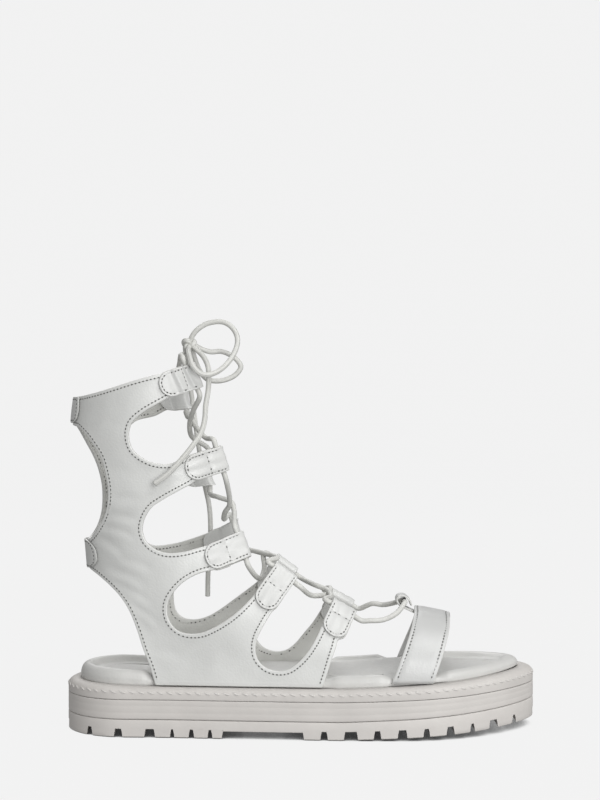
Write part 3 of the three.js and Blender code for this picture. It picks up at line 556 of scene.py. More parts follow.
def make_outsole():
    """The plate above the lugs, as rings, with every lug block standing in its underside."""
    rings = [
        sole_ring(0.5, tread_roof),
        sole_ring(0.0, lambda x: tread_roof(x) + 0.3),
        sole_ring(0.0, lambda x: groove_line(x) - 0.9),
        sole_ring(0.15, lambda x: groove_line(x) - 0.5),
        sole_ring(0.6, lambda x: groove_line(x) - SEAM / 2),
    ]
    plate = ring_piece("outsole", rings, [sole_rubber])
    merge_close(plate)
    edges = [BACK, *np.ravel(GROOVES), TIP]
    points, faces, start = [], [], 0
    for start_x, end_x in zip(edges[0::2], edges[1::2]):
        low_lean = 0.0 if start_x == BACK else 1.0
        high_lean = 0.0 if end_x == TIP else 1.0
        block, quads = lug_block(start_x, end_x, low_lean, high_lean)
        points.append(block)
        faces.append(quads + start)
        start += len(block)
    lugs = new_piece("outsole_lugs", np.concatenate(points), faces, [sole_rubber])
    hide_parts("outsole")
    for piece in (plate, lugs):
        piece.data.set_sharp_from_angle(angle=math.radians(38))


make_outsole()

# ---------------------------------------------------------------- midsole
# A thick platform of the same light rubber, cemented on the outsole. A fine groove shows
# where they meet, and two faint moulded lines run round its straight wall.
def make_midsole():
    """Rings from the outsole's line to the welt's, with the wall's faint moulded lines."""
    def between(share, inset):
        return sole_ring(inset, lambda x: mix(groove_line(x), welt_foot(x), share))

    rings = [
        sole_ring(0.35, lambda x: groove_line(x) + SEAM / 2),
        sole_ring(0.07, lambda x: groove_line(x) + 0.4),
        sole_ring(0.0, lambda x: groove_line(x) + 0.7),
        between(0.30, 0.0), between(0.34, 0.07), between(0.38, 0.0),
        between(0.66, 0.0), between(0.70, 0.07), between(0.74, 0.0),
        sole_ring(0.0, lambda x: welt_foot(x) - 0.7),
        sole_ring(0.05, lambda x: welt_foot(x) - 0.35),
        sole_ring(0.25, lambda x: welt_foot(x) - SEAM / 2),
    ]
    piece = ring_piece("midsole", rings, [sole_rubber])
    merge_close(piece)
    piece.data.set_sharp_from_angle(angle=math.radians(50))
    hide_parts("midsole")


make_midsole()

# ---------------------------------------------------------------- welt
# A raised rubber rim round the footbed with a rounded shoulder, sewn to the platform
# with thick slanted stitches.
WELT_WIDTH = 9.5
WELT_SHOULDER = 4.6
WELT_STITCH_PITCH = 5.3


def welt_profile():
    """Inset and share of the height: up the wall, round the shoulder, in and down again."""
    turn = np.radians(np.linspace(0, 90, 13))
    wall = [(0.22, 0.02), (0.05, 0.04), (0.0, 0.08), (0.0, 0.3), (0.0, 0.38)]
    shoulder = list(zip(WELT_SHOULDER * (1 - np.cos(turn)), 0.5 + 0.5 * np.sin(turn)))
    inner = [(WELT_WIDTH - 1.0, 1.0), (WELT_WIDTH, 0.93), (WELT_WIDTH, 0.03)]
    return wall + shoulder + inner


def welt_ring(inset, share):
    """A ring on the welt at a share of its height."""
    return sole_ring(inset, lambda x: mix(welt_foot(x), welt_top(x), share))


def make_welt():
    """The profile's rings, joined in a closed band."""
    stack = np.asarray([welt_ring(inset, share) for inset, share in welt_profile()])
    stack = np.concatenate([stack, stack[:1]])
    rows, count = stack.shape[:2]
    faces = grid_faces(rows, count, wrap=True)
    piece = new_piece("welt", stack.reshape(-1, 3), [faces], [sole_rubber])
    merge_close(piece)
    piece.data.set_sharp_from_angle(angle=math.radians(60))
    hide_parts("welt")


make_welt()


def bead(length, width, height, sides=8, rings=5):
    """One stitch lying along x: an ellipsoid that is half sunk in what it sews."""
    polar = np.linspace(0.12, np.pi - 0.12, rings)
    angle = np.arange(sides) * 2 * np.pi / sides
    x = -np.cos(polar)[:, None] * np.ones(sides) * length / 2
    y = np.sin(polar)[:, None] ** 0.7 * np.cos(angle) * width / 2
    z = np.sin(polar)[:, None] ** 0.7 * np.sin(angle) * height
    ends = [[-length / 2, 0, 0], [length / 2, 0, 0]]
    points = np.concatenate([np.stack([x, y, z], axis=-1).reshape(-1, 3), ends])
    low, high = len(points) - 2, len(points) - 1
    i = np.arange(sides)
    j = (i + 1) % sides
    last = (rings - 1) * sides
    caps = np.concatenate([
        np.stack([np.full(sides, low), j, i], axis=1),
        np.stack([np.full(sides, high), last + i, last + j], axis=1),
    ])
    return points, grid_faces(rings, sides, wrap=True), caps


def laid_out(template, places, along, normal):
    """Copies of a template's points, one at each place, turned to its direction and normal."""
    along = unit(along)
    across = unit(np.cross(normal, along))
    up = np.cross(along, across)
    return (places[:, None] + template[None, :, :1] * along[:, None]
            + template[None, :, 1:2] * across[:, None] + template[None, :, 2:] * up[:, None])


def copies(faces, count, size):
    """The faces of a template repeated for a number of copies of so many points."""
    return (faces[None] + (np.arange(count) * size)[:, None, None]).reshape(-1, faces.shape[1])


def make_thread_material(name, colour):
    """Twisted sewing thread: fine slanted ridges across it."""
    material, tree, shader = plain_material(name, colour, 0.6)
    place = node(tree, "ShaderNodeTexCoord")
    twist = node(tree, "ShaderNodeTexWave", Scale=900.0, Distortion=1.0,
                 bands_direction="DIAGONAL")
    relief = node(tree, "ShaderNodeBump", Strength=0.7, Distance=0.08 * MM)
    tone = node(tree, "ShaderNodeMapRange", To_Min=0.82, To_Max=1.05)
    toned(tree, shader, colour, tone.outputs[0])
    wire(
        tree,
        (place.outputs["Object"], twist.inputs["Vector"]),
        (twist.outputs["Fac"], relief.inputs["Height"]),
        (twist.outputs["Fac"], tone.inputs["Value"]),
        (relief.outputs["Normal"], shader.inputs["Normal"]),
    )
    return material


def make_welt_stitches():
    """Thick slanted stitches at even steps along the shoulder, all the way round."""
    ring = welt_ring(0.35, 0.62)
    above = welt_ring(1.6, 0.86)
    loop = np.concatenate([ring, ring[:1]])
    along = length_along(loop)
    count = int(along[-1] / WELT_STITCH_PITCH)
    at = (np.arange(count) + 0.5) / count * along[-1]
    places = np.stack([np.interp(at, along, loop[:, k]) for k in range(3)], axis=1)
    upper = np.concatenate([above, above[:1]])
    rise = unit(np.stack([np.interp(at, along, upper[:, k]) for k in range(3)], axis=1) - places)
    ahead = np.stack([np.interp(at + 0.5, along, loop[:, k]) for k in range(3)], axis=1)
    run = unit(ahead - places)
    outward = np.cross(run, rise)
    slant = run + 0.33 * rise * np.sign(-run[:, :1])
    template, quads, caps = bead(4.4, 1.3, 0.55)
    points = laid_out(template, places, slant, outward).reshape(-1, 3)
    size = len(template)
    new_piece("welt_stitches", points, [copies(quads, count, size), copies(caps, count, size)],
              [make_thread_material("welt_thread", (0.60, 0.58, 0.555))])


make_welt_stitches()

# ---------------------------------------------------------------- footbed
# A padded insole covered in smooth leather. Its rim stands up in a soft roll round a
# shallow basin, and it is pressed down where the upper and the toe strap go in beside it.
STRAP_ENTRIES = [
    # from x, to x
    [-84, 14], [50, 80],
]


def tuck(x):
    """1 where a strap goes down beside the footbed, 0 elsewhere."""
    parts = [soft_step((x - low + 6) / 6) * soft_step((high + 6 - x) / 6)
             for low, high in STRAP_ENTRIES]
    return np.maximum(*parts)


def basin_height(x):
    """Height of the basin above the welt."""
    return 4.6 - 2.0 * soft_step((x - 45) / 55)


def footbed_rings():
    """Rings up the side, over the roll and down into the basin."""
    def rim(x):
        return mix(8.3, 5.0, (x - BACK) / SOLE_LENGTH) * (1 - 0.35 * tuck(x))

    def inset(depth):
        return lambda x: depth * (1 + 0.25 * soft_step((x - 95) / 40)) + 1.6 * tuck(x)

    def above(share):
        return lambda x: welt_top(x) + SEAM + rim(x) * share

    def down(share):
        return lambda x: mix(above(1)(x), welt_top(x) + basin_height(x), share)

    coarse = np.asarray([
        sole_ring(inset(7.7), above(-0.05)),
        sole_ring(inset(7.3), above(0.04)),
        sole_ring(inset(7.2), above(0.2)),
        sole_ring(inset(7.4), above(0.5)),
        sole_ring(inset(8.8), above(0.84)),
        sole_ring(inset(11.4), above(1)),
        sole_ring(inset(13.8), down(0.2)),
        sole_ring(inset(16.2), down(0.86)),
        sole_ring(inset(18.6), down(0.98)),
        sole_ring(inset(22.5), down(1)),
    ])
    flat = coarse.reshape(len(coarse), -1)
    return smooth_through(flat, per_gap=5, power=0.0).reshape(-1, *coarse.shape[1:])


def basin_shape(grid):
    """A cup under the heel, a low swell at the arch and one under the toes."""
    x, y, z = grid[..., 0], grid[..., 1], grid[..., 2]
    reach = np.abs(y - sole_turn(x)) / np.maximum(np.abs(sole_edge(x, 1) - sole_turn(x)) - 20, 4)
    ends = soft_step((x - x.min()) / 34) * soft_step((x.max() - x) / 34)
    middle = np.clip(1 - reach ** 2, 0, 1) * ends
    cup = -1.6 * middle * np.exp(-(((x + 92) / 34) ** 2))
    arch = 1.4 * middle * np.exp(-(((x + 12) / 30) ** 2))
    toes = 0.9 * middle * np.exp(-(((x - 62) / 16) ** 2)) - 0.8 * middle * soft_step((x - 78) / 20)
    shaped = grid.copy()
    shaped[..., 2] = z + cup + arch + toes
    return shaped


footbed_leather = grained("footbed_leather", (0.535, 0.532, 0.515), 0.40, 0.3, cells=650.0,
                          slow_size=30.0, slow_depth=0.9)[0]
footbed = ring_piece("footbed", footbed_rings(), [footbed_leather], roof=basin_shape)
merge_close(footbed)
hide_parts("footbed")

# ---------------------------------------------------------------- upper
# One shell of smooth leather with its lining, about 2 mm thick, shaped on the last: five
# fingers a side with round notches between, open at the back of the ankle and at the heel.
# Its cut edges are painted, and a row of stitches runs beside them.
UPPER_WALL = 2.0
UPPER_FOOT = 28.0
UPPER_INSET = 6.0
BLEND_HEIGHT = 52.0
LAST = np.array([
    # z, back, front, lateral, medial
    [24, -120.4, 128.0, 38.0, 35.0], [45, -121.0, 92.0, 38.0, 35.0],
    [60, -121.8, 58.0, 37.0, 34.5], [72, -122.3, 35.0, 35.5, 34.0],
    [84, -122.8, 13.5, 33.5, 33.0], [92, -123.4, -1.0, 32.0, 31.5],
    [99, -124.0, -14.5, 31.0, 30.5], [107, -124.7, -23.0, 30.3, 30.0],
    [118, -126.2, -28.5, 30.0, 29.5], [135, -128.7, -32.5, 30.0, 29.5],
    [155, -131.2, -37.0, 31.0, 30.5], [176, -132.7, -42.5, 33.0, 32.5],
    [192, -130.9, -46.5, 34.0, 33.5], [212, -128.7, -51.5, 35.0, 34.5],
])


def last_point(turn, z):
    """A point of the last: an oval at each height that runs out into the sole's outline."""
    around = np.mod(turn, 2)
    share = np.where(around <= 1, around, 2 - around)
    side = np.where(around <= 1, -1.0, 1.0)
    back, front = column(LAST, 1, z), column(LAST, 2, z)
    part = (1 - np.cos(np.pi * share)) / 2
    x = back + (front - back) * part
    width = np.where(side < 0, column(LAST, 3, z), column(LAST, 4, z))
    oval = 2 * width * np.sqrt(np.maximum(part * (1 - part), 0))
    foot = np.maximum(side * sole_edge(x, side) - UPPER_INSET, 0)
    half = mix(foot, oval, soft_step((z - UPPER_FOOT) / BLEND_HEIGHT))
    return np.stack([x, side * half, z + 0 * x], axis=-1)


def last_normal(turn, z):
    """The last's outward normal, from its slopes round and up."""
    along = last_point(turn + 0.002, z) - last_point(turn - 0.002, z)
    up = last_point(turn, z + 0.4) - last_point(turn, z - 0.4)
    return unit(np.cross(along, up))


def turn_at(x, z, side):
    """The turn round the last of a place (x, z) in the side view."""
    back, front = column(LAST, 1, z), column(LAST, 2, z)
    share = np.clip((x - back) / (front - back), 0, 1)
    turn = np.arccos(1 - 2 * share) / np.pi
    return np.where(np.asarray(side) < 0, turn, 2 - turn)


def over_last(x, z, side, h):
    """A point at height h over the last at a place of the side view."""
    turn = turn_at(x, z, side)
    return last_point(turn, z) + last_normal(turn, z) * np.asarray(h)[..., None]


# Arc length round the last, from the middle of the back, for each side and height.
ARC_HEIGHTS = np.arange(24.0, 216.0, 1.0)
ARC_TURNS = np.linspace(0, 1, 241)


def arc_table(side):
    """Distance round one side from the back, for every height and turn of the two rulers."""
    turns = ARC_TURNS if side < 0 else 2 - ARC_TURNS
    sheet = last_point(turns[None, :] + 0 * ARC_HEIGHTS[:, None], ARC_HEIGHTS[:, None] + 0 * turns)
    steps = np.linalg.norm(np.diff(sheet, axis=1), axis=2)
    return np.concatenate([np.zeros((len(ARC_HEIGHTS), 1)), np.cumsum(steps, axis=1)], axis=1)


ARCS = {-1: arc_table(-1), 1: arc_table(1)}


def flat_place(x, z, side):
    """A place of the side view as a place of the unrolled leather: (side times arc, z)."""
    turn = turn_at(x, z, side)
    share = np.where(turn <= 1, turn, 2 - turn)
    row = np.clip((z - ARC_HEIGHTS[0]), 0, len(ARC_HEIGHTS) - 1.001)
    col = share * (len(ARC_TURNS) - 1)
    i, j = np.floor(row).astype(int), np.clip(np.floor(col).astype(int), 0, len(ARC_TURNS) - 2)
    f, g = row - i, col - j
    table = ARCS[side]
    low = mix(table[i, j], table[i, j + 1], g)
    high = mix(table[i + 1, j], table[i + 1, j + 1], g)
    return np.stack([side * mix(low, high, f), z], axis=-1)


def turn_of(flat):
    """The turn round the last of places on the unrolled leather."""
    side = np.where(flat[:, 0] < 0, -1, 1)
    row = np.clip(flat[:, 1] - ARC_HEIGHTS[0], 0, len(ARC_HEIGHTS) - 1.001)
    i = np.floor(row).astype(int)
    f = (row - i)[:, None]
    lateral = mix(ARCS[-1][i], ARCS[-1][i + 1], f)
    medial = mix(ARCS[1][i], ARCS[1][i + 1], f)
    table = np.where(side[:, None] < 0, lateral, medial)
    reach = np.abs(flat[:, 0])
    j = np.clip((table < reach[:, None]).sum(axis=1), 1, len(ARC_TURNS) - 1)
    pick = np.arange(len(flat))
    low, high = table[pick, j - 1], table[pick, j]
    share = (j - 1 + (reach - low) / np.maximum(high - low, 1e-9)) / (len(ARC_TURNS) - 1)
    return np.where(side < 0, share, 2 - share)


def on_leather(flat, h):
    """Points at height h over the last for places on the unrolled leather."""
    turn = turn_of(flat)
    normal = last_normal(turn, flat[:, 1])
    return last_point(turn, flat[:, 1]) + normal * np.asarray(h)[..., None], normal


# Fingers and their tabs: the middle of the stitch line that closes a tab's tunnel, the
# finger's angle and width in the side view, the length of the tab's two leaves, and the
# depth of its tunnel from the stitch line to the fold.
TABS = [
    # x, z, angle, width, leaf, tunnel
    [-66.6, 199.6, 19, 14.6, 15.3, 10.4], [-53.0, 152.2, 17, 14.6, 15.3, 11.8],
    [-42.2, 102.5, 20, 14.8, 14.7, 13.6], [-15.2, 82.4, 53, 14.6, 14.8, 14.4],
    [21.4, 65.8, 61, 14.6, 14.0, 10.2],
]
FINGER_SQUEEZE = [0.9, 0.86, 0.86, 0.86, 0.76]
TUNNEL_HALF = 2.45
TAB_LEATHER = 1.1
DRIFT = [
    # z, reach in z, x of the root, x of the tip, move in x, move in z
    [198, 28, -100, -60, -12.0, -12.2], [150, 22, -85, -45, -13.2, -10.5],
    [103, 18, -80, -35, -6.0, 3.8],
]


def drift(x, z, side):
    """Where a place of the side view has moved to on the softer medial fingers."""
    move_x = move_z = 0.0
    for height, reach, root, tip, dx, dz in DRIFT if side > 0 else []:
        near = np.maximum(1 - ((z - height) / reach) ** 2, 0) ** 2
        weight = near * soft_step((x - root) / (tip - root))
        move_x, move_z = move_x + weight * dx, move_z + weight * dz
    return x + move_x, z + move_z


def on_finger(k, a, b, side):
    """A place of the side view, a along finger k from its stitch line and b across it."""
    x, z, degrees = TABS[k][:3]
    angle = math.radians(degrees)
    squeeze = FINGER_SQUEEZE[k]
    dx = a * squeeze * math.cos(angle) - b * math.sin(angle)
    dz = a * squeeze * math.sin(angle) + b * math.cos(angle)
    return drift(x + dx, z + dz, side)


NOTCHES = {
    -1: [
        [[-82, 185.2], [-89, 181], [-95.5, 175], [-97.3, 167.5], [-95, 159.8], [-89, 155],
         [-82, 152.4], [-74, 152.2], [-67.5, 154.6]],
        [[-62.5, 140.5], [-69, 137], [-78.7, 131.5], [-85, 127], [-89, 120], [-89.8, 114],
         [-87.5, 108], [-81.7, 103.6], [-75, 102], [-66, 102.8], [-58.5, 104.8]],
        [[-54.3, 91.8], [-60.5, 89.6], [-66.5, 86], [-71.5, 81], [-75, 75], [-75.7, 69],
         [-74, 63.3], [-69.7, 58.8], [-63.9, 57.1], [-56.7, 57.6], [-49.6, 60.6],
         [-40.5, 66.2], [-33, 72.4]],
        [[-17.4, 68.4], [-21.6, 61.6], [-24.8, 55], [-25.8, 49], [-24.8, 43.6],
         [-20.8, 39.2], [-14.5, 37], [-8, 37.7], [-2.3, 41.6], [2.8, 47.2], [7.2, 54]],
    ],
    1: [
        [[-88, 178.4], [-100, 175], [-105.3, 168.5], [-105.2, 161], [-100, 153.8],
         [-92, 148.8], [-84.5, 146.4]],
        [[-82, 131], [-90.5, 126], [-96.5, 119], [-98, 112], [-95.5, 105.6], [-89, 101.2],
         [-78.5, 101.8], [-68, 104.4]],
        [[-58, 92.5], [-63, 90.3], [-68.8, 86.4], [-73.6, 81], [-76.6, 74.5], [-76.8, 68],
         [-75.2, 61.6], [-71, 57.6], [-64, 56.4], [-56, 58.3], [-48.3, 62.7],
         [-40.5, 68.4], [-32.5, 74.4]],
        [[-18.2, 69.5], [-23, 61.6], [-26.8, 55], [-27.8, 48.5], [-26, 42.6],
         [-21.5, 38.7], [-15, 37], [-8.8, 38.1], [-3.6, 42], [1.5, 48.1], [6.8, 54.6]],
    ],
}
TOP_EDGE = [[-133, 189.8], [-127, 190.2], [-117, 192.2], [-106, 195.3], [-96, 198.4],
            [-86, 201.2]]
FRONT_EDGE = [[20.6, 54.5], [18.8, 49.5], [16.6, 43.5], [13.9, 35.3], [11.4, UPPER_FOOT]]
HEEL_EDGE = [[-82.2, UPPER_FOOT], [-85.3, 38.5], [-89.2, 48], [-93.2, 59.3], [-97.9, 69.6],
             [-102.8, 76.4], [-108.2, 81.6], [-114.2, 86.2], [-119.6, 89.4], [-124, 91]]
BACK_OPENING = [
    # z, lateral x, medial x
    [108, -122.6, -124.4], [109.5, -120.6, -123.2], [112.4, -118.2, -121.6],
    [116, -115.7, -120.1], [122.5, -112.2, -118.6], [130, -110.2, -118.2],
    [138, -109.9, -118.7], [147, -111.4, -120.7], [155, -113.6, -123.6],
    [162, -117.8, -127.0], [168, -122.6, -129.8], [172.6, -127.6, -131.9],
]
EDGE_STEP = 1.15


def side_outline(side):
    """The panel's edge on one side, from the top of the back to the heel, unrolled."""
    def corner(k, upper, a):
        half = (TABS[k][3] / 2 - 0.35) * (1 if upper else -1)
        return [float(value) for value in on_finger(k, a, half, side)]

    def moved(rows):
        return [[float(value) for value in drift(x, z, side)] for x, z in rows]

    runs = [[TOP_EDGE[0], *moved(TOP_EDGE)[1:], corner(0, True, -9), corner(0, True, 0)]]
    for k, notch in enumerate(NOTCHES[side]):
        runs.append([corner(k, True, 0), corner(k, False, 0)])
        runs.append([corner(k, False, 0), corner(k, False, -9), *notch,
                     corner(k + 1, True, -9), corner(k + 1, True, 0)])
    runs.append([corner(4, True, 0), corner(4, False, 0)])
    runs.append([corner(4, False, 0), corner(4, False, -8), *FRONT_EDGE])
    runs.append([FRONT_EDGE[-1], HEEL_EDGE[0]])
    runs.append([*HEEL_EDGE, [-130.0, 91.0]])
    pieces = []
    for rows in runs:
        curve = smooth_through(rows, per_gap=10) if len(rows) > 2 else np.asarray(rows, float)
        fine = evenly(curve, 0.4)
        flat = flat_place(fine[:, 0], fine[:, 1], side)
        pieces.append(evenly(flat, EDGE_STEP)[:-1])
    return np.concatenate(pieces)


def opening_outline(side):
    """The edge of the back opening on one side, from its foot to its top, unrolled."""
    rows = np.asarray(BACK_OPENING)
    curve = smooth_through(rows[:, [1 if side < 0 else 2, 0]], per_gap=10)
    flat = flat_place(curve[:, 0], curve[:, 1], side)
    flat = np.concatenate([[[0.0, 107.6]], flat, [[0.0, 173.8]]])
    return evenly(flat, EDGE_STEP)


def inside(places, loop):
    """Whether each place lies inside a closed loop, by counting the edges beside it."""
    ends = np.roll(loop, -1, axis=0)
    result = np.zeros(len(places), bool)
    for chunk in np.array_split(np.arange(len(places)), max(len(places) // 2000, 1)):
        p = places[chunk]
        above = loop[:, 1] > p[:, 1:]
        above_end = ends[:, 1] > p[:, 1:]
        rise = ends[:, 1] - loop[:, 1]
        safe = np.where(np.abs(rise) < 1e-12, 1e-12, rise)
        cross = loop[:, 0] + (p[:, 1:] - loop[:, 1]) / safe * (ends[:, 0] - loop[:, 0])
        result[chunk] = ((above != above_end) & (p[:, :1] < cross)).sum(axis=1) % 2 == 1
    return result


def distance_to(places, loops):
    """Distance from each place to the nearest stretch of the closed loops."""
    starts = np.concatenate(loops)
    ends = np.concatenate([np.roll(loop, -1, axis=0) for loop in loops])
    run = ends - starts
    size = np.maximum((run ** 2).sum(axis=1), 1e-12)
    result = np.zeros(len(places))
    for chunk in np.array_split(np.arange(len(places)), max(len(places) // 1500, 1)):
        offset = places[chunk][:, None] - starts
        share = np.clip((offset * run).sum(axis=2) / size, 0, 1)
        gap = offset - share[..., None] * run
        result[chunk] = np.sqrt((gap ** 2).sum(axis=2).min(axis=1))
    return result


def inward(loop):
    """The inward normals of a closed loop that runs anticlockwise round the leather."""
    run = unit(np.roll(loop, -1, axis=0) - np.roll(loop, 1, axis=0))
    return np.stack([-run[:, 1], run[:, 0]], axis=1)


def signed_area(loop):
    """Area of a closed loop, positive where it runs anticlockwise."""
    after = np.roll(loop, -1, axis=0)
    return ((loop[:, 0] * after[:, 1] - after[:, 0] * loop[:, 1]) / 2).sum()


# Creases that the ankle has worked into the leather: soft troughs, placed by their ends.
CREASES = [
    # side, x and z of the start, x and z of the end, depth, half width
    [-1, -122, 129, -90, 133, 0.34, 2.6], [-1, -118, 122, -92, 121, 0.38, 2.2],
    [-1, -116, 116, -94, 111, 0.30, 2.0], [-1, -121, 112, -100, 101, 0.36, 2.6],
    [-1, -104, 98, -84, 93, 0.30, 2.4], [-1, -112, 93, -88, 84, 0.34, 2.6],
    [-1, -108, 85, -84, 74, 0.28, 2.2], [-1, -96, 72, -80, 62, 0.26, 2.4],
    [-1, -118, 142, -98, 150, 0.24, 3.4], [-1, -125, 163, -104, 178, 0.30, 4.5],
    [-1, -88, 47, -66, 45, 0.20, 3.0], [-1, -84, 148, -66, 149, 0.18, 2.4],
    [1, -122, 127, -92, 132, 0.34, 2.6], [1, -118, 120, -94, 118, 0.36, 2.2],
    [1, -116, 113, -92, 106, 0.32, 2.2], [1, -108, 96, -84, 90, 0.30, 2.6],
    [1, -106, 84, -84, 75, 0.28, 2.4], [1, -116, 146, -98, 152, 0.26, 3.4],
]


def crease_depth(flat):
    """How far the creases press the leather in: each a bell across and tapered along."""
    depth = np.zeros(len(flat))
    for side, x0, z0, x1, z1, deep, wide in CREASES:
        start, end = flat_place(np.array([x0, x1]), np.array([z0, z1]), side)
        run = end - start
        size = np.linalg.norm(run)
        run = run / size
        offset = flat - start
        t = offset @ run / size
        bow = 1.6 * np.sin(np.pi * np.clip(t, 0, 1))
        across = offset @ np.array([-run[1], run[0]]) + bow
        along = soft_step((t + 0.1) / 0.35) * soft_step((1.1 - t) / 0.35)
        ridge = 0.5 * np.exp(-(((across - 1.9 * wide) / wide) ** 2))
        depth += deep * along * (np.exp(-((across / wide) ** 2)) - ridge)
    return depth


def soft_waves(flat):
    """The leather's slow unevenness: three crossing waves of different lengths."""
    u, z = flat[:, 0], flat[:, 1]
    long_wave = 0.22 * np.sin(u / 11.0 + 0.7 * np.sin(z / 17.0)) * np.sin(z / 14.0 + 0.5)
    short_wave = 0.10 * np.sin(u / 4.7 + z / 9.0) * np.sin(z / 5.3 - u / 13.0)
    return long_wave + short_wave


def make_edge_leather(name, colour, roughness, rim_colour, seam_at=2.0, seam_depth=0.22,
                      bump=0.28, cells=900.0, slow_size=45.0, slow_depth=0.5):
    """Leather with a painted cut edge and a shallow trough where its stitches pull it in."""
    material, tree, shader, grain, tint, relief = grained(
        name, colour, roughness, bump, cells=cells, slow_size=slow_size, slow_depth=slow_depth)
    shader.inputs["Coat Weight"].default_value = 0.22
    shader.inputs["Coat Roughness"].default_value = 0.32
    edge = node(tree, "ShaderNodeAttribute", attribute_name="edge")
    rim = node(tree, "ShaderNodeMapRange", From_Min=0.15, From_Max=0.5, To_Min=1.0, To_Max=0.0)
    painted = node(tree, "ShaderNodeMix", data_type="RGBA")
    painted.inputs["B"].default_value = (*rim_colour, 1)
    off = node(tree, "ShaderNodeMath", operation="SUBTRACT")
    off.inputs[1].default_value = seam_at
    away = node(tree, "ShaderNodeMath", operation="ABSOLUTE")
    trough = node(tree, "ShaderNodeMapRange", interpolation_type="SMOOTHSTEP", From_Min=0.0,
                  From_Max=0.9, To_Min=seam_depth, To_Max=0.0)
    height = node(tree, "ShaderNodeMath", operation="SUBTRACT")
    wire(
        tree,
        (edge.outputs["Fac"], rim.inputs["Value"]),
        (rim.outputs[0], painted.inputs["Factor"]),
        (tint, painted.inputs["A"]),
        (painted.outputs["Result"], shader.inputs["Base Color"]),
        (edge.outputs["Fac"], off.inputs[0]),
        (off.outputs[0], away.inputs[0]),
        (away.outputs[0], trough.inputs["Value"]),
        (grain.outputs["Height"], height.inputs[0]),
        (trough.outputs[0], height.inputs[1]),
        (height.outputs[0], relief.inputs["Height"]),
    )
    return material


upper_leather = make_edge_leather("upper_leather", (0.585, 0.59, 0.575), 0.37,
                                  (0.62, 0.62, 0.60))
lining_leather = make_edge_leather("lining_leather", (0.50, 0.50, 0.475), 0.5,
                                   (0.60, 0.60, 0.58), slow_size=110.0, slow_depth=1.2)
seam_thread = make_thread_material("seam_thread", (0.50, 0.50, 0.48))
# Near-black discs between the stitches: painted shade for the dark inside of the needle holes.
stitch_hole_shade = plain_material("stitch_hole_shade", (0.09, 0.09, 0.085), 0.8)[0]
STITCH_PITCH = 2.15
STITCH_INSET = 2.0
STITCH_SINK = 0.02


def sew(name, rows, length=1.15, width=0.4, height=0.12, hole=0.42):
    """Rows of stitches with a needle hole between, each hole a near-black disc of painted shade. A
    row gives places, directions, normals.
    """
    places, along, normal = (np.concatenate(part) for part in zip(*rows))
    along = unit(along)
    template, quads, caps = bead(length, width, height)
    size = len(template)
    thread = laid_out(template, places, along, normal).reshape(-1, 3)
    # The needle holes: flat near-black discs just over the leather, painted shade in place of real
    # holes.
    turn = np.arange(8) * 2 * np.pi / 8
    ring = np.stack([hole * np.cos(turn) * 1.5, hole * np.sin(turn), 0 * turn + 0.035], axis=1)
    shade_disc = laid_out(ring, places + along * STITCH_PITCH / 2, along, normal).reshape(-1, 3)
    count = len(places)
    shade_discs = np.arange(8)[None] + (np.arange(count) * 8)[:, None] + count * size
    faces = [copies(quads, count, size), copies(caps, count, size), shade_discs]
    kind = np.concatenate([np.zeros(len(faces[0]) + len(faces[1])), np.ones(count)])
    new_piece(name, np.concatenate([thread, shade_disc]), faces, [seam_thread, stitch_hole_shade],
              face_material=kind)


def spread(columns, crowding):
    """Places from -1 to 1 that crowd towards both ends."""
    bend = np.pi / 2 * crowding
    return np.sin(np.linspace(-1, 1, columns) * np.pi / 2 * crowding) / math.sin(bend)


def stitches_on(line):
    """The middles and directions of the steps of an evenly spaced line."""
    return (line[:-1] + line[1:]) / 2, line[1:] - line[:-1]


def seam_path(loop, loops, inset):
    """Runs of points on the leather at a distance from a closed loop and every other edge."""
    line = loop + inward(loop) * inset
    kept = distance_to(line, loops) > inset * 0.96
    runs, run = [], []
    for place, good in zip(line, kept):
        if good and (not run or np.linalg.norm(place - run[-1]) < 6):
            run.append(place)
        else:
            if len(run) > 4:
                runs.append(np.asarray(run))
            run = [place] if good else []
    if len(run) > 4:
        runs.append(np.asarray(run))
    return runs


def rounded(edge, radius):
    """How far a rounded edge falls away: 1 at the rim, 0 from the radius inwards."""
    return 1 - np.sqrt(1 - np.clip(1 - edge / radius, 0, 1) ** 2)


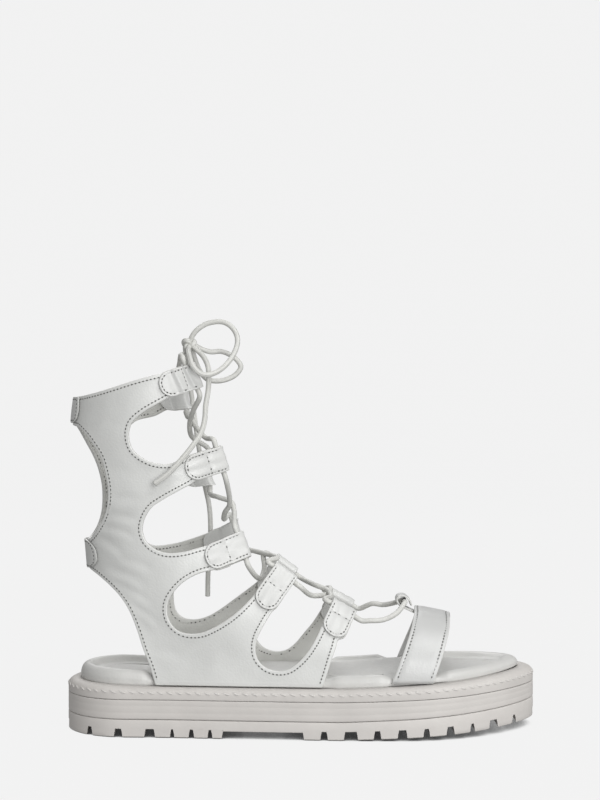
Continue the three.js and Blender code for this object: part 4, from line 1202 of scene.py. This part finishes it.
def make_upper():
    """The unrolled panel is filled with triangles, then laid on the last as two faces."""
    lateral, medial = side_outline(-1), side_outline(1)
    outer = np.concatenate([medial, lateral[::-1]])
    outer = outer[np.linalg.norm(outer - np.roll(outer, 1, axis=0), axis=1) > 0.2]
    hole = np.concatenate([opening_outline(-1), opening_outline(1)[::-1][1:-1]])
    if signed_area(outer) < 0:
        outer = outer[::-1]
    if signed_area(hole) > 0:
        hole = hole[::-1]
    loops = [outer, hole]
    edge_points = np.concatenate(loops)
    near = []
    for loop in loops:
        for depth in (0.2, 0.55, 1.05):
            row = loop + inward(loop) * depth
            near.append(row[distance_to(row, loops) > depth * 0.93])
    step = 1.45
    u = np.arange(outer[:, 0].min(), outer[:, 0].max(), step)
    z = np.arange(outer[:, 1].min(), outer[:, 1].max(), step * 0.87)
    grid_u, grid_z = np.meshgrid(u, z)
    grid_u = grid_u + (np.arange(len(z)) % 2)[:, None] * step / 2
    field = np.stack([grid_u.ravel(), grid_z.ravel()], axis=1)
    field = field[inside(field, outer) & ~inside(field, hole)]
    field = field[distance_to(field, loops) > 1.7]
    flat = np.concatenate([edge_points, *near, field])
    ends = np.concatenate([np.roll(np.arange(len(outer)), -1),
                           len(outer) + np.roll(np.arange(len(hole)), -1)])
    edges = np.stack([np.arange(len(edge_points)), ends], axis=1)
    made = delaunay_2d_cdt(flat.tolist(), edges.tolist(), [], 0, 1e-5)
    flat = np.array([tuple(vertex) for vertex in made[0]])
    triangles = np.array([face for face in made[2] if len(face) == 3])
    middle = flat[triangles].mean(axis=1)
    triangles = triangles[inside(middle, outer) & ~inside(middle, hole)]
    a, b, c = (flat[triangles[:, k]] for k in range(3))
    turned = (b[:, 0] - a[:, 0]) * (c[:, 1] - a[:, 1]) < (b[:, 1] - a[:, 1]) * (c[:, 0] - a[:, 0])
    triangles[turned] = triangles[turned][:, ::-1]
    used = np.unique(triangles)
    number = np.full(len(flat), -1)
    number[used] = np.arange(len(used))
    flat, triangles = flat[used], number[triangles]
    edge = distance_to(flat, loops)
    edge[edge < 0.02] = 0
    round_over = 0.45 * rounded(edge, 0.6)
    body = soft_step(edge / 6)
    bend = -crease_depth(flat) * body + soft_waves(flat) * body
    gathers = 0.16 * np.sin(flat[:, 1] * 2.4 + 2 * np.sin(flat[:, 0] / 5)) * (flat[:, 0] > 0)
    outside, _ = on_leather(flat, bend - round_over)
    lining, _ = on_leather(flat, bend * 0.8 - UPPER_WALL + round_over + gathers * body)
    count = len(flat)
    pairs = np.concatenate([triangles[:, [0, 1]], triangles[:, [1, 2]], triangles[:, [2, 0]]])
    _, key, times = np.unique(np.sort(pairs, axis=1), axis=0, return_inverse=True,
                              return_counts=True)
    rim = pairs[times[key.ravel()] == 1]
    wall = np.stack([rim[:, 1], rim[:, 0], rim[:, 0] + count, rim[:, 1] + count], axis=1)
    faces = [triangles, triangles[:, ::-1] + count, wall]
    kind = np.concatenate([np.zeros(len(triangles)), np.ones(len(triangles)),
                           np.zeros(len(wall))])
    piece = new_piece("upper", np.concatenate([outside, lining]), faces,
                      [upper_leather, lining_leather],
                      {"edge": np.concatenate([edge, edge])}, kind)
    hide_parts("upper")
    rows = []
    for loop in loops:
        for run in seam_path(loop, loops, STITCH_INSET):
            centre, ahead = stitches_on(evenly(run, STITCH_PITCH))
            swell = (soft_waves(centre) - crease_depth(centre)) * soft_step(STITCH_INSET / 6)
            spot, up = on_leather(centre, swell - STITCH_SINK)
            before, _ = on_leather(centre - ahead * 0.3, np.zeros(len(centre)))
            after, _ = on_leather(centre + ahead * 0.3, np.zeros(len(centre)))
            keep = centre[:, 1] > 30.5
            rows.append((spot[keep], (after - before)[keep], up[keep]))
    sew("upper_stitches", rows)
    sew("lining_stitches", [(places - up * (UPPER_WALL - 0.05), along, -up)
                            for places, along, up in rows])


make_upper()

# ---------------------------------------------------------------- back strip and heel patch
# Two thin overlays sewn over the back seam: a strip at the collar and an oval at the heel.
OVERLAY = 1.0
OVERLAY_HEIGHT = SEAM + 0.05


def leather_sheet(name, top, foot, edge, leather):
    """A closed sheet between two grids of equal shape, its faces turned to point outwards."""
    rows, columns = top.shape[:2]
    count = rows * columns
    faces = grid_faces(rows, columns)
    border = np.concatenate([
        np.arange(columns), np.arange(1, rows) * columns + columns - 1,
        (rows - 1) * columns + np.arange(columns - 2, -1, -1),
        np.arange(rows - 2, 0, -1) * columns,
    ])
    after = np.roll(border, -1)
    wall = np.stack([border, border + count, after + count, after], axis=1)
    points = np.concatenate([top.reshape(-1, 3), foot.reshape(-1, 3)])
    piece = new_piece(name, points, [faces, faces[:, ::-1] + count, wall], [leather],
                      {"edge": np.tile(edge.ravel(), 2)})
    work = bmesh.new()
    work.from_mesh(piece.data)
    bmesh.ops.remove_doubles(work, verts=work.verts, dist=0.002 * MM)
    bmesh.ops.recalc_face_normals(work, faces=work.faces)
    if work.calc_volume(signed=True) < 0:
        bmesh.ops.reverse_faces(work, faces=work.faces)
    work.to_mesh(piece.data)
    work.free()
    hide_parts(name)


STRIP_ROWS = np.array([
    # z, reach round each side of the back seam
    [174.8, 0.085], [175.6, 0.12], [177.5, 0.148], [181, 0.16], [185, 0.158], [189.7, 0.15],
])


def strip_place(s, b, h):
    """The collar strip: a band round the back seam, narrowed to a round lower end."""
    z = mix(174.8, 189.7, (s + 1) / 2)
    turn = np.mod(-b * np.interp(z, STRIP_ROWS[:, 0], STRIP_ROWS[:, 1]), 2)
    return last_point(turn, z) + last_normal(turn, z) * (h + OVERLAY_HEIGHT)[..., None]


def patch_place(s, b, h):
    """The heel patch: a superellipse of power 2.6 laid round the back seam."""
    s = np.clip(s, -0.99, 0.99)
    z = 99.7 + 8.4 * s
    turn = np.mod(-b * 0.17 * (1 - np.abs(s) ** 2.6) ** (1 / 2.6), 2)
    return last_point(turn, z) + last_normal(turn, z) * (h + OVERLAY_HEIGHT)[..., None]


def make_overlays():
    """Both overlays, thinned to a soft rim, with a row of stitches inside it."""
    rows = []
    for name, place, across, down in (("collar_back_strip", strip_place, 16.0, 7.4),
                                      ("heel_patch", patch_place, 15.0, 8.4)):
        share = np.sin(np.linspace(-1, 1, 33) * np.pi / 2)
        s, b = np.meshgrid(share, share, indexing="ij")
        edge = np.minimum((1 - np.abs(s)) * down, (1 - np.abs(b)) * across)
        thin = 0.42 * OVERLAY * rounded(edge, 0.9)
        leather_sheet(name, place(s, b, OVERLAY - thin), place(s, b, thin), edge, overlay_leather)
        inset_s, inset_b = 1 - 1.5 / down, 1 - 1.7 / across
        square = np.array([[-1, -1], [-1, 1], [1, 1], [1, -1], [-1, -1]], float)
        line = evenly(square * [inset_s, inset_b], 0.01)
        spots = place(line[:, 0], line[:, 1], np.full(len(line), OVERLAY))
        centre, ahead = stitches_on(evenly(spots, STITCH_PITCH))
        turn = turn_at(centre[:, 0], centre[:, 2], np.where(centre[:, 1] < 0, -1, 1))
        rows.append((centre, ahead, last_normal(turn, centre[:, 2])))
    sew("overlay_stitches", rows)


overlay_leather = make_edge_leather("overlay_leather", (0.55, 0.555, 0.54), 0.42,
                                    (0.48, 0.48, 0.465), seam_at=1.6, seam_depth=0.3)
make_overlays()

# ---------------------------------------------------------------- loop tabs
# Ten strips of the upper's leather. Each is folded over a finger's tip, sewn across to
# leave a tunnel for the lace, and sewn down along its round-ended outer leaf.
TAB_OUTER = SEAM + 0.35 + TAB_LEATHER / 2
TAB_INNER = -UPPER_WALL - TAB_OUTER
TAB_MIDDLE = (TAB_OUTER + TAB_INNER) / 2
TAB_SEAM = 1.45


def tab_frame(k, side):
    """Origin at the stitch line, direction along the finger's tip, and outward normal."""
    x, z = on_finger(k, 0.0, 0.0, side)
    back_x, back_z = on_finger(k, -2.5, 0.0, side)
    origin = over_last(x, z, side, 0.0)
    along = unit(origin - over_last(back_x, back_z, side, 0.0))
    return origin, along, last_normal(turn_at(x, z, side), z)


def tab_path(leaf, tunnel):
    """The strip's middle line (a, h): inner leaf, round the fold, outer leaf to its end."""
    end = tunnel - TUNNEL_HALF - TAB_LEATHER / 2
    inner = [[-leaf, TAB_INNER], [-leaf * 0.5, TAB_INNER], [-1.2, TAB_INNER],
             [0.2, TAB_INNER + 0.15]]
    turn = np.radians(np.linspace(-90, 90, 9))
    fold = [[end + TUNNEL_HALF * math.cos(t), TAB_MIDDLE + TUNNEL_HALF * math.sin(t)]
            for t in turn]
    low = [3.6, TAB_MIDDLE - TUNNEL_HALF]
    high = [3.6, TAB_MIDDLE + TUNNEL_HALF]
    outer = [[0.2, TAB_OUTER - 0.15], [-1.2, TAB_OUTER], [-leaf * 0.5, TAB_OUTER],
             [-leaf, TAB_OUTER]]
    return evenly(smooth_through([*inner, low, *fold, high, *outer], per_gap=16), 0.42)


def tab_half_width(a, width, leaf):
    """Half the strip's width: full, and a half round at the end of each leaf."""
    half = width / 2
    past = np.clip((-a - (leaf - half)) / half, 0, 0.9995)
    return half * np.sqrt(1 - past ** 2)


def pucker(k, a, b, outer_leaf):
    """Gathers pressed into the top tabs by the pull of the lace."""
    if k > 0:
        return 0.12 * np.sin(1.1 * b) * outer_leaf
    fold = 0.95 * np.exp(-(((a + 3.6 + 0.10 * b) / 1.5) ** 2))
    second = 0.75 * np.exp(-(((a - 3.4 + 0.16 * b) / 1.3) ** 2))
    dip = -0.35 * np.exp(-(((a + 7.0) / 2.2) ** 2)) - 0.25 * np.exp(-(((a - 1.0) / 1.0) ** 2))
    return (fold + second + dip) * outer_leaf


def tab_place(k, side, path, index, b, lift):
    """A point of tab k at a path index, b mm across from its middle, lifted off its line."""
    _, along, normal = tab_frame(k, side)
    a, h = path[index, 0], path[index, 1]
    slope = unit(np.gradient(path, axis=0))[index]
    outer_leaf = h > -UPPER_WALL / 2
    raised = lift + pucker(k, a, b, outer_leaf * 1.0)
    lean = raised * np.where(outer_leaf, 1.0, -1.0)
    x, z = on_finger(k, np.minimum(a, 0.0), b, side)
    lying = over_last(x, z, side, h + lean)
    x, z = on_finger(k, 0.0, b, side)
    base = over_last(x, z, side, 0.0)
    out = np.stack([slope[..., 1], -slope[..., 0]], axis=-1)
    ahead, up = a + out[..., 0] * raised, h + out[..., 1] * raised
    standing = base + along * ahead[..., None] + normal * up[..., None]
    return np.where((a <= 0)[..., None], lying, standing)


def make_tab(k, side, name):
    """The strip's two faces over its path and width, and the rows sewn into it."""
    width, leaf, tunnel = TABS[k][3:]
    path = tab_path(leaf, tunnel)
    index, column_b = np.meshgrid(np.arange(len(path)), spread(21, 0.86), indexing="ij")
    half = tab_half_width(path[index, 0], width, leaf)
    b = column_b * half
    along = length_along(path)
    from_end = np.minimum(along, along[-1] - along)[index]
    edge = np.minimum(half - np.abs(b), from_end)
    thin = 0.2 * rounded(edge, 0.5)
    top = tab_place(k, side, path, index, b, TAB_LEATHER / 2 - thin)
    foot = tab_place(k, side, path, index, b, -TAB_LEATHER / 2 + thin)
    leather_sheet(name, top, foot, edge, tab_leather)
    return tab_seams(k, side, path, width, tunnel)


def tab_seams(k, side, path, width, tunnel):
    """The tab's stitches: down both sides, round the leaf's end, and across the tunnel."""
    along = length_along(path)
    outer = np.where(path[:, 1] > -UPPER_WALL / 2)[0]
    top = outer[np.argmax(path[outer, 0] < tunnel - TUNNEL_HALF - 1.0)]
    last = len(path) - 1
    round_end = width / 2
    straight = along[last] - round_end
    angle = np.radians(np.linspace(0, 180, 40))
    reach = round_end - TAB_SEAM
    s = np.concatenate([np.linspace(along[top], straight, 60), straight + reach * np.sin(angle),
                        np.linspace(straight, along[top], 60)])
    b = np.concatenate([np.full(60, reach), reach * np.cos(angle), np.full(60, -reach)])
    line = evenly(np.stack([s, b], axis=1), STITCH_PITCH)
    bar_s = along[outer[np.argmin(np.abs(path[outer, 0]))]]
    bar = evenly(np.array([[bar_s, -reach], [bar_s, reach]]), STITCH_PITCH)
    rows = []
    for part in (line, bar):
        middle, run = stitches_on(part)

        def spot(places, lift):
            position = np.interp(places[:, 0], along, np.arange(len(path)))
            low = np.clip(position.astype(int), 0, last - 1)
            share = (position - low)[:, None]
            return mix(tab_place(k, side, path, low, places[:, 1], lift),
                       tab_place(k, side, path, low + 1, places[:, 1], lift), share)

        centre = spot(middle, TAB_LEATHER / 2)
        ahead = (spot(middle + run * 0.2, TAB_LEATHER / 2)
                 - spot(middle - run * 0.2, TAB_LEATHER / 2))
        up = unit(centre - spot(middle, 0.0))
        rows.append((centre - up * STITCH_SINK, ahead, up))
    return rows


tab_leather = make_edge_leather("tab_leather", (0.56, 0.563, 0.55), 0.36, (0.58, 0.58, 0.56),
                                seam_at=TAB_SEAM, seam_depth=0.3)
tab_rows = []
for side, word in ((-1, "lateral"), (1, "medial")):
    for k in range(len(TABS)):
        tab_rows += make_tab(k, side, f"loop_tab_{word}_{k + 1}")
sew("tab_stitches", tab_rows)

# ---------------------------------------------------------------- toe strap and toe loop
# A lined leather strap arched over the toes and sewn along both edges. A folded loop
# under its rear edge leads the lace.
STRAP_FOOT = 30.4
STRAP_RISE = 35.0
STRAP_REACH = {-1: 41.4, 1: 42.2}
STRAP_FOOT_X = 61.4
STRAP_TOP_X = 75.2
STRAP_FOOT_HALF = 11.6
STRAP_TOP_HALF = 10.2
STRAP_SKEW = 7.5
STRAP_FALL = 0.2


def strap_place(degrees, b, h):
    """The arch, a superellipse of power 2.25 that leans forward, more on the medial side."""
    angle = np.radians(degrees)
    power = 2 / 2.25
    rise = np.maximum(np.cos(angle), 0) ** power
    run = np.abs(np.sin(angle)) ** power
    forward = STRAP_SKEW * soft_step((np.sin(angle) + 0.15) / 1.15)
    across = b * mix(STRAP_FOOT_HALF, STRAP_TOP_HALF, rise)
    x = mix(STRAP_FOOT_X, STRAP_TOP_X, rise) + forward + across
    reach = np.where(angle < 0, -STRAP_REACH[-1], STRAP_REACH[1]) * np.abs(np.sign(angle))
    z = STRAP_FOOT + STRAP_RISE * rise - STRAP_FALL * rise * across
    y = reach * run + sole_turn(x) * 0.4
    out = np.stack([0 * angle, np.sin(angle), np.cos(angle)], axis=-1)
    return np.stack([x, y, z], axis=-1) + out * np.asarray(h)[..., None]


def make_toe_strap():
    """Outer and inner face of the arch with rounded edges, a slight swell and two seams."""
    fine = np.linspace(-1, 1, 121)
    degrees = 90 * (0.75 * fine + 0.25 * fine ** 3)
    s, b = np.meshgrid(degrees, spread(31, 0.9), indexing="ij")
    edge = (1 - np.abs(b)) * STRAP_TOP_HALF
    thin = 0.42 * rounded(edge, 0.7)
    swell = 0.25 * soft_step((edge - 1.6) / 3) + 0.12 * np.sin(s / 7.0) * soft_step(edge / 4)
    top = strap_place(s, b, UPPER_WALL / 2 - thin + swell - 0.2)
    foot = strap_place(s, b, -UPPER_WALL / 2 + thin)
    leather_sheet("toe_strap", top, foot, edge, strap_leather)
    sewn = []
    for sign in (-1, 1):
        arc = np.linspace(-88, 88, 500)
        at = sign * (1 - STITCH_INSET / STRAP_TOP_HALF) + 0 * arc
        line = strap_place(arc, at, UPPER_WALL / 2 - 0.17 + 0 * arc)
        centre, ahead = stitches_on(evenly(line, STITCH_PITCH))
        up = unit(np.cross(ahead, [1.0, 0.0, -STRAP_FALL]))
        up *= np.sign(up[:, 2:3] + 1e-9)
        sewn.append((centre, ahead, up))
    return sewn


TOE_UNDER = -(UPPER_WALL / 2 + SEAM + 0.75 + TAB_LEATHER / 2)
TOE_HALF = 6.2
TOE_LEAF = 9.0
TOE_LIFT = math.radians(27)
TOE_CENTRE = 7.2
TOE_MIDDLE = 0.8
TOE_REACH = 3.9
TOE_RISE = 2.95
TOE_LACE_AT = 6.4


def toe_loop_frame():
    """Start on the strap's rear edge, direction back and up, and the normal over it."""
    back = np.array([-math.cos(TOE_LIFT), 0, math.sin(TOE_LIFT)])
    up = np.array([math.sin(TOE_LIFT), 0, math.cos(TOE_LIFT)])
    start = strap_place(np.float64(0), np.float64(-1), np.float64(0)) + back * (SEAM + 0.3)
    return start, back, up


def make_toe_loop():
    """A strip that lies under the strap, runs back past its edge and curls up over the lace."""
    start, back, up = toe_loop_frame()
    middle_y = sole_turn(STRAP_TOP_X) * 0.4
    leaf = [strap_place(np.float64(0), -1 + share * TOE_LEAF / STRAP_TOP_HALF, TOE_UNDER)
            for share in (1, 0.6, 0.2)]

    def spot(a, h):
        return start + back * a + up * h

    turn = np.radians(np.linspace(-90, 90, 9))
    curl = [spot(TOE_CENTRE + TOE_REACH * math.cos(t), TOE_MIDDLE + TOE_RISE * math.sin(t))
            for t in turn]
    path = [*leaf, spot(2.2, TOE_MIDDLE - TOE_RISE), *curl,
            spot(4.2, TOE_MIDDLE + TOE_RISE - 0.9), spot(1.9, 0.7)]
    path = evenly(smooth_through(path, per_gap=14), 0.4)
    run = unit(np.gradient(path, axis=0))
    out = np.stack([run[:, 2], 0 * run[:, 0], -run[:, 0]], axis=1)
    out *= -np.sign(out[0, 2])
    index, b = np.meshgrid(np.arange(len(path)), np.linspace(-1, 1, 17), indexing="ij")
    along = length_along(path)
    from_end = np.minimum(along, along[-1] - along)[index]
    half = TOE_HALF * (1 - 0.06 * np.exp(-((from_end / 1.5) ** 2)))
    edge = np.minimum(half - np.abs(b) * half, from_end)
    thin = 0.2 * rounded(edge, 0.5)

    def face(sign):
        shift = sign * (TAB_LEATHER / 2 - thin)
        base, lean = path[index], out[index]
        return np.stack([base[..., 0] + lean[..., 0] * shift, middle_y + b * half,
                         base[..., 2] + lean[..., 2] * shift], axis=-1)

    leather_sheet("toe_loop", face(1), face(-1), edge, tab_leather)


strap_leather = make_edge_leather("strap_leather", (0.50, 0.503, 0.495), 0.36,
                                  (0.63, 0.63, 0.61), slow_depth=0.4)
sew("strap_stitches", make_toe_strap())
make_toe_loop()

# ---------------------------------------------------------------- lace: through the tabs
# The two halves of the lace start at the toe loop and cross over the foot between each
# pair of rows, through every tab's tunnel, up to the knot.
LACE_SEAT = TUNNEL_HALF + 1.4
NECK_SEAT = 6.0


def tunnel_end(k, side, upper, past, inset=LACE_SEAT):
    """A point on the axis of a tab's tunnel, past its edge at the upper or lower end."""
    _, along, normal = tab_frame(k, side)
    seat = TABS[k][5] - inset
    half = TABS[k][3] / 2
    high = over_last(*on_finger(k, 0.0, half, side), side, 0.0)
    low = over_last(*on_finger(k, 0.0, -half, side), side, 0.0)
    end, other = (high, low) if upper else (low, high)
    return end + unit(end - other) * past + along * seat - normal * UPPER_WALL / 2


TOE_RUN = {-1: [[54.5, -12.5, 66], [46.5, -17.5, 62.8], [39, -20, 62.6]],
           1: [[55.4, 12, 69], [48, 16.5, 67], [42, 18, 67.5]]}
NECK_RUN = {-1: [[-69.0, -16.5, 213.5], [-68.0, -10.2, 214.3]],
            1: [[-71.7, 12, 210.5], [-70.2, 1.5, 213.8]]}
NECK_TOP = [-67.0, -6.0, 214.8]
CROSSINGS = {
    # lower row: from the upper row's lateral tab down, and from its medial tab down
    1: ([[-61.9, -14, 182.3], [-64.8, -3.2, 174.5], [-64.4, 6, 167]],
        [[-67.5, 7, 181], [-63.6, 0.8, 175.4], [-60, -5, 171.2], [-55, -12, 166.3]]),
    2: ([[-41.8, -2.6, 127.4], [-44.7, 2.6, 122.6], [-45.6, 9, 118.2]],
        [[-48.9, 6, 131.3], [-40.9, 1.6, 128.6], [-39.3, -2, 124.5]]),
    3: ([[-24.1, -11, 85.5], [-21.6, 0, 90.6], [-22.4, 6.3, 97.3]],
        [[-31.5, 18, 99.2], [-23.2, 6, 98.6], [-17.2, -3, 98], [-14.2, -12, 97.4]]),
    4: ([[5.9, -11, 75.8], [15.3, 0.6, 75.6], [16.6, 9, 77.8]],
        [[7.8, 6, 79.9], [14.6, -0.2, 77.8], [16.8, -9, 75.3]]),
}


def toe_tunnel(side, past):
    """A point on the axis of the toe loop's tunnel, past its edge on one side."""
    start, back, up = toe_loop_frame()
    place = start + back * TOE_LACE_AT + up * TOE_MIDDLE
    place[1] = sole_turn(STRAP_TOP_X) * 0.4 + side * (TOE_HALF + past)
    return place


def lace_half(side):
    """The route of one half, from the middle of the toe loop on a side to the knot."""
    route = [toe_tunnel(side, -TOE_HALF), toe_tunnel(side, -2), toe_tunnel(side, 1.0),
             *[np.array(row, float) for row in TOE_RUN[side]]]
    for k in range(4, -1, -1):
        seat = NECK_SEAT if k == 0 else LACE_SEAT
        route += [tunnel_end(k, side, False, 4.4), tunnel_end(k, side, False, 0.3),
                  tunnel_end(k, side, True, 0.3, seat), tunnel_end(k, side, True, 4.4, seat)]
        if k > 0:
            from_lateral, from_medial = CROSSINGS[k]
            strand = from_lateral if side > 0 else from_medial
            route += [np.array(row, float) for row in reversed(strand)]
            side = -side
    route += [np.array(row, float) for row in NECK_RUN[side]]
    route.append(np.array(NECK_TOP))
    return evenly(smooth_through(route, per_gap=14), 1.1)


for name, start_side in (("lace_half_lateral", -1), ("lace_half_medial", 1)):
    points, faces, marks = tube(lace_half(start_side), LACE / 2)
    new_piece(name, points, [faces], [lace_leather], marks)
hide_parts("lace_toe", "lace_crossing_4_5", "lace_crossing_2_3")
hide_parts("lace_neck", "lace_crossing_3_4", "lace_crossing_1_2")

# ---------------------------------------------------------------- floor and light
# A pale seamless sweep, evenly bright, with a painted contact shadow: it darkens only where the
# sole nearly touches it.
# One large soft light stands in front, with weaker ones above and behind.
def make_sweep_material():
    """Even pale emission, dimmed by how much the surroundings close the floor in: a painted
    contact shadow.
    """
    material, tree, shader = plain_material("floor", (0.01, 0.01, 0.01), 0.9)
    shader.inputs["Specular IOR Level"].default_value = 0.0
    shader.inputs["Emission Color"].default_value = (1, 1, 1, 1)
    # Ambient occlusion dims the floor's glow next to the sole: painted contact shadow, which also
    # darkens the floor seen between the lugs.
    closed = node(tree, "ShaderNodeAmbientOcclusion", samples=12)
    closed.inputs["Distance"].default_value = 0.012
    painted_shadow_factor = node(tree, "ShaderNodeMapRange", interpolation_type="SMOOTHSTEP",
                      From_Min=0.04, From_Max=0.5, To_Min=0.03, To_Max=1.0)
    seen = node(tree, "ShaderNodeLightPath")
    level = node(tree, "ShaderNodeMapRange", To_Min=0.42, To_Max=0.88)
    strength = node(tree, "ShaderNodeMath", operation="MULTIPLY")
    wire(
        tree,
        (closed.outputs["AO"], painted_shadow_factor.inputs["Value"]),
        (seen.outputs["Is Camera Ray"], level.inputs["Value"]),
        (level.outputs[0], strength.inputs[0]),
        (painted_shadow_factor.outputs[0], strength.inputs[1]),
        (strength.outputs[0], shader.inputs["Emission Strength"]),
    )
    return material


def make_sweep():
    """A floor that turns up into a wall in a wide curve."""
    turn = np.radians(np.linspace(0, 90, 16))
    y = np.concatenate([[-6000.0], 2500 + 1500 * np.sin(turn), [4000.0]])
    z = np.concatenate([[0.0], 1500 * (1 - np.cos(turn)), [7000.0]]) - 0.15
    x = np.array([-7000.0, 7000.0])
    grid = np.stack([np.tile(x, len(y)), np.repeat(y, 2), np.repeat(z, 2)], axis=1)
    mesh = bpy.data.meshes.new("floor")
    mesh.from_pydata((grid * MM).tolist(), [], grid_faces(len(y), 2).tolist())
    mesh.materials.append(make_sweep_material())
    floor = bpy.data.objects.new("floor", mesh)
    bpy.context.scene.collection.objects.link(floor)


make_sweep()


def soft_light(name, place, size, watts, target=(0.0, 0.0, 0.1)):
    """A square area light that looks at the shoe."""
    light = bpy.data.lights.new(name, "AREA")
    light.shape = "SQUARE"
    light.size = size
    light.energy = watts
    lamp = bpy.data.objects.new(name, light)
    lamp.location = place
    lamp.rotation_euler = (Vector(target) - Vector(place)).to_track_quat("-Z", "Y").to_euler()
    bpy.context.scene.collection.objects.link(lamp)


soft_light("light_above", (0.6, -0.7, 1.3), 0.9, 10)
soft_light("light_front", (0.55, -1.5, 0.45), 0.9, 17)
soft_light("light_behind", (-0.2, 1.3, 1.1), 1.0, 7)
world = bpy.data.worlds.new("room")
world.use_nodes = True
world.node_tree.nodes["Background"].inputs["Color"].default_value = (1, 1, 1, 1)
world.node_tree.nodes["Background"].inputs["Strength"].default_value = 0.42
bpy.context.scene.world = world
bpy.context.scene.view_settings.view_transform = "Standard"
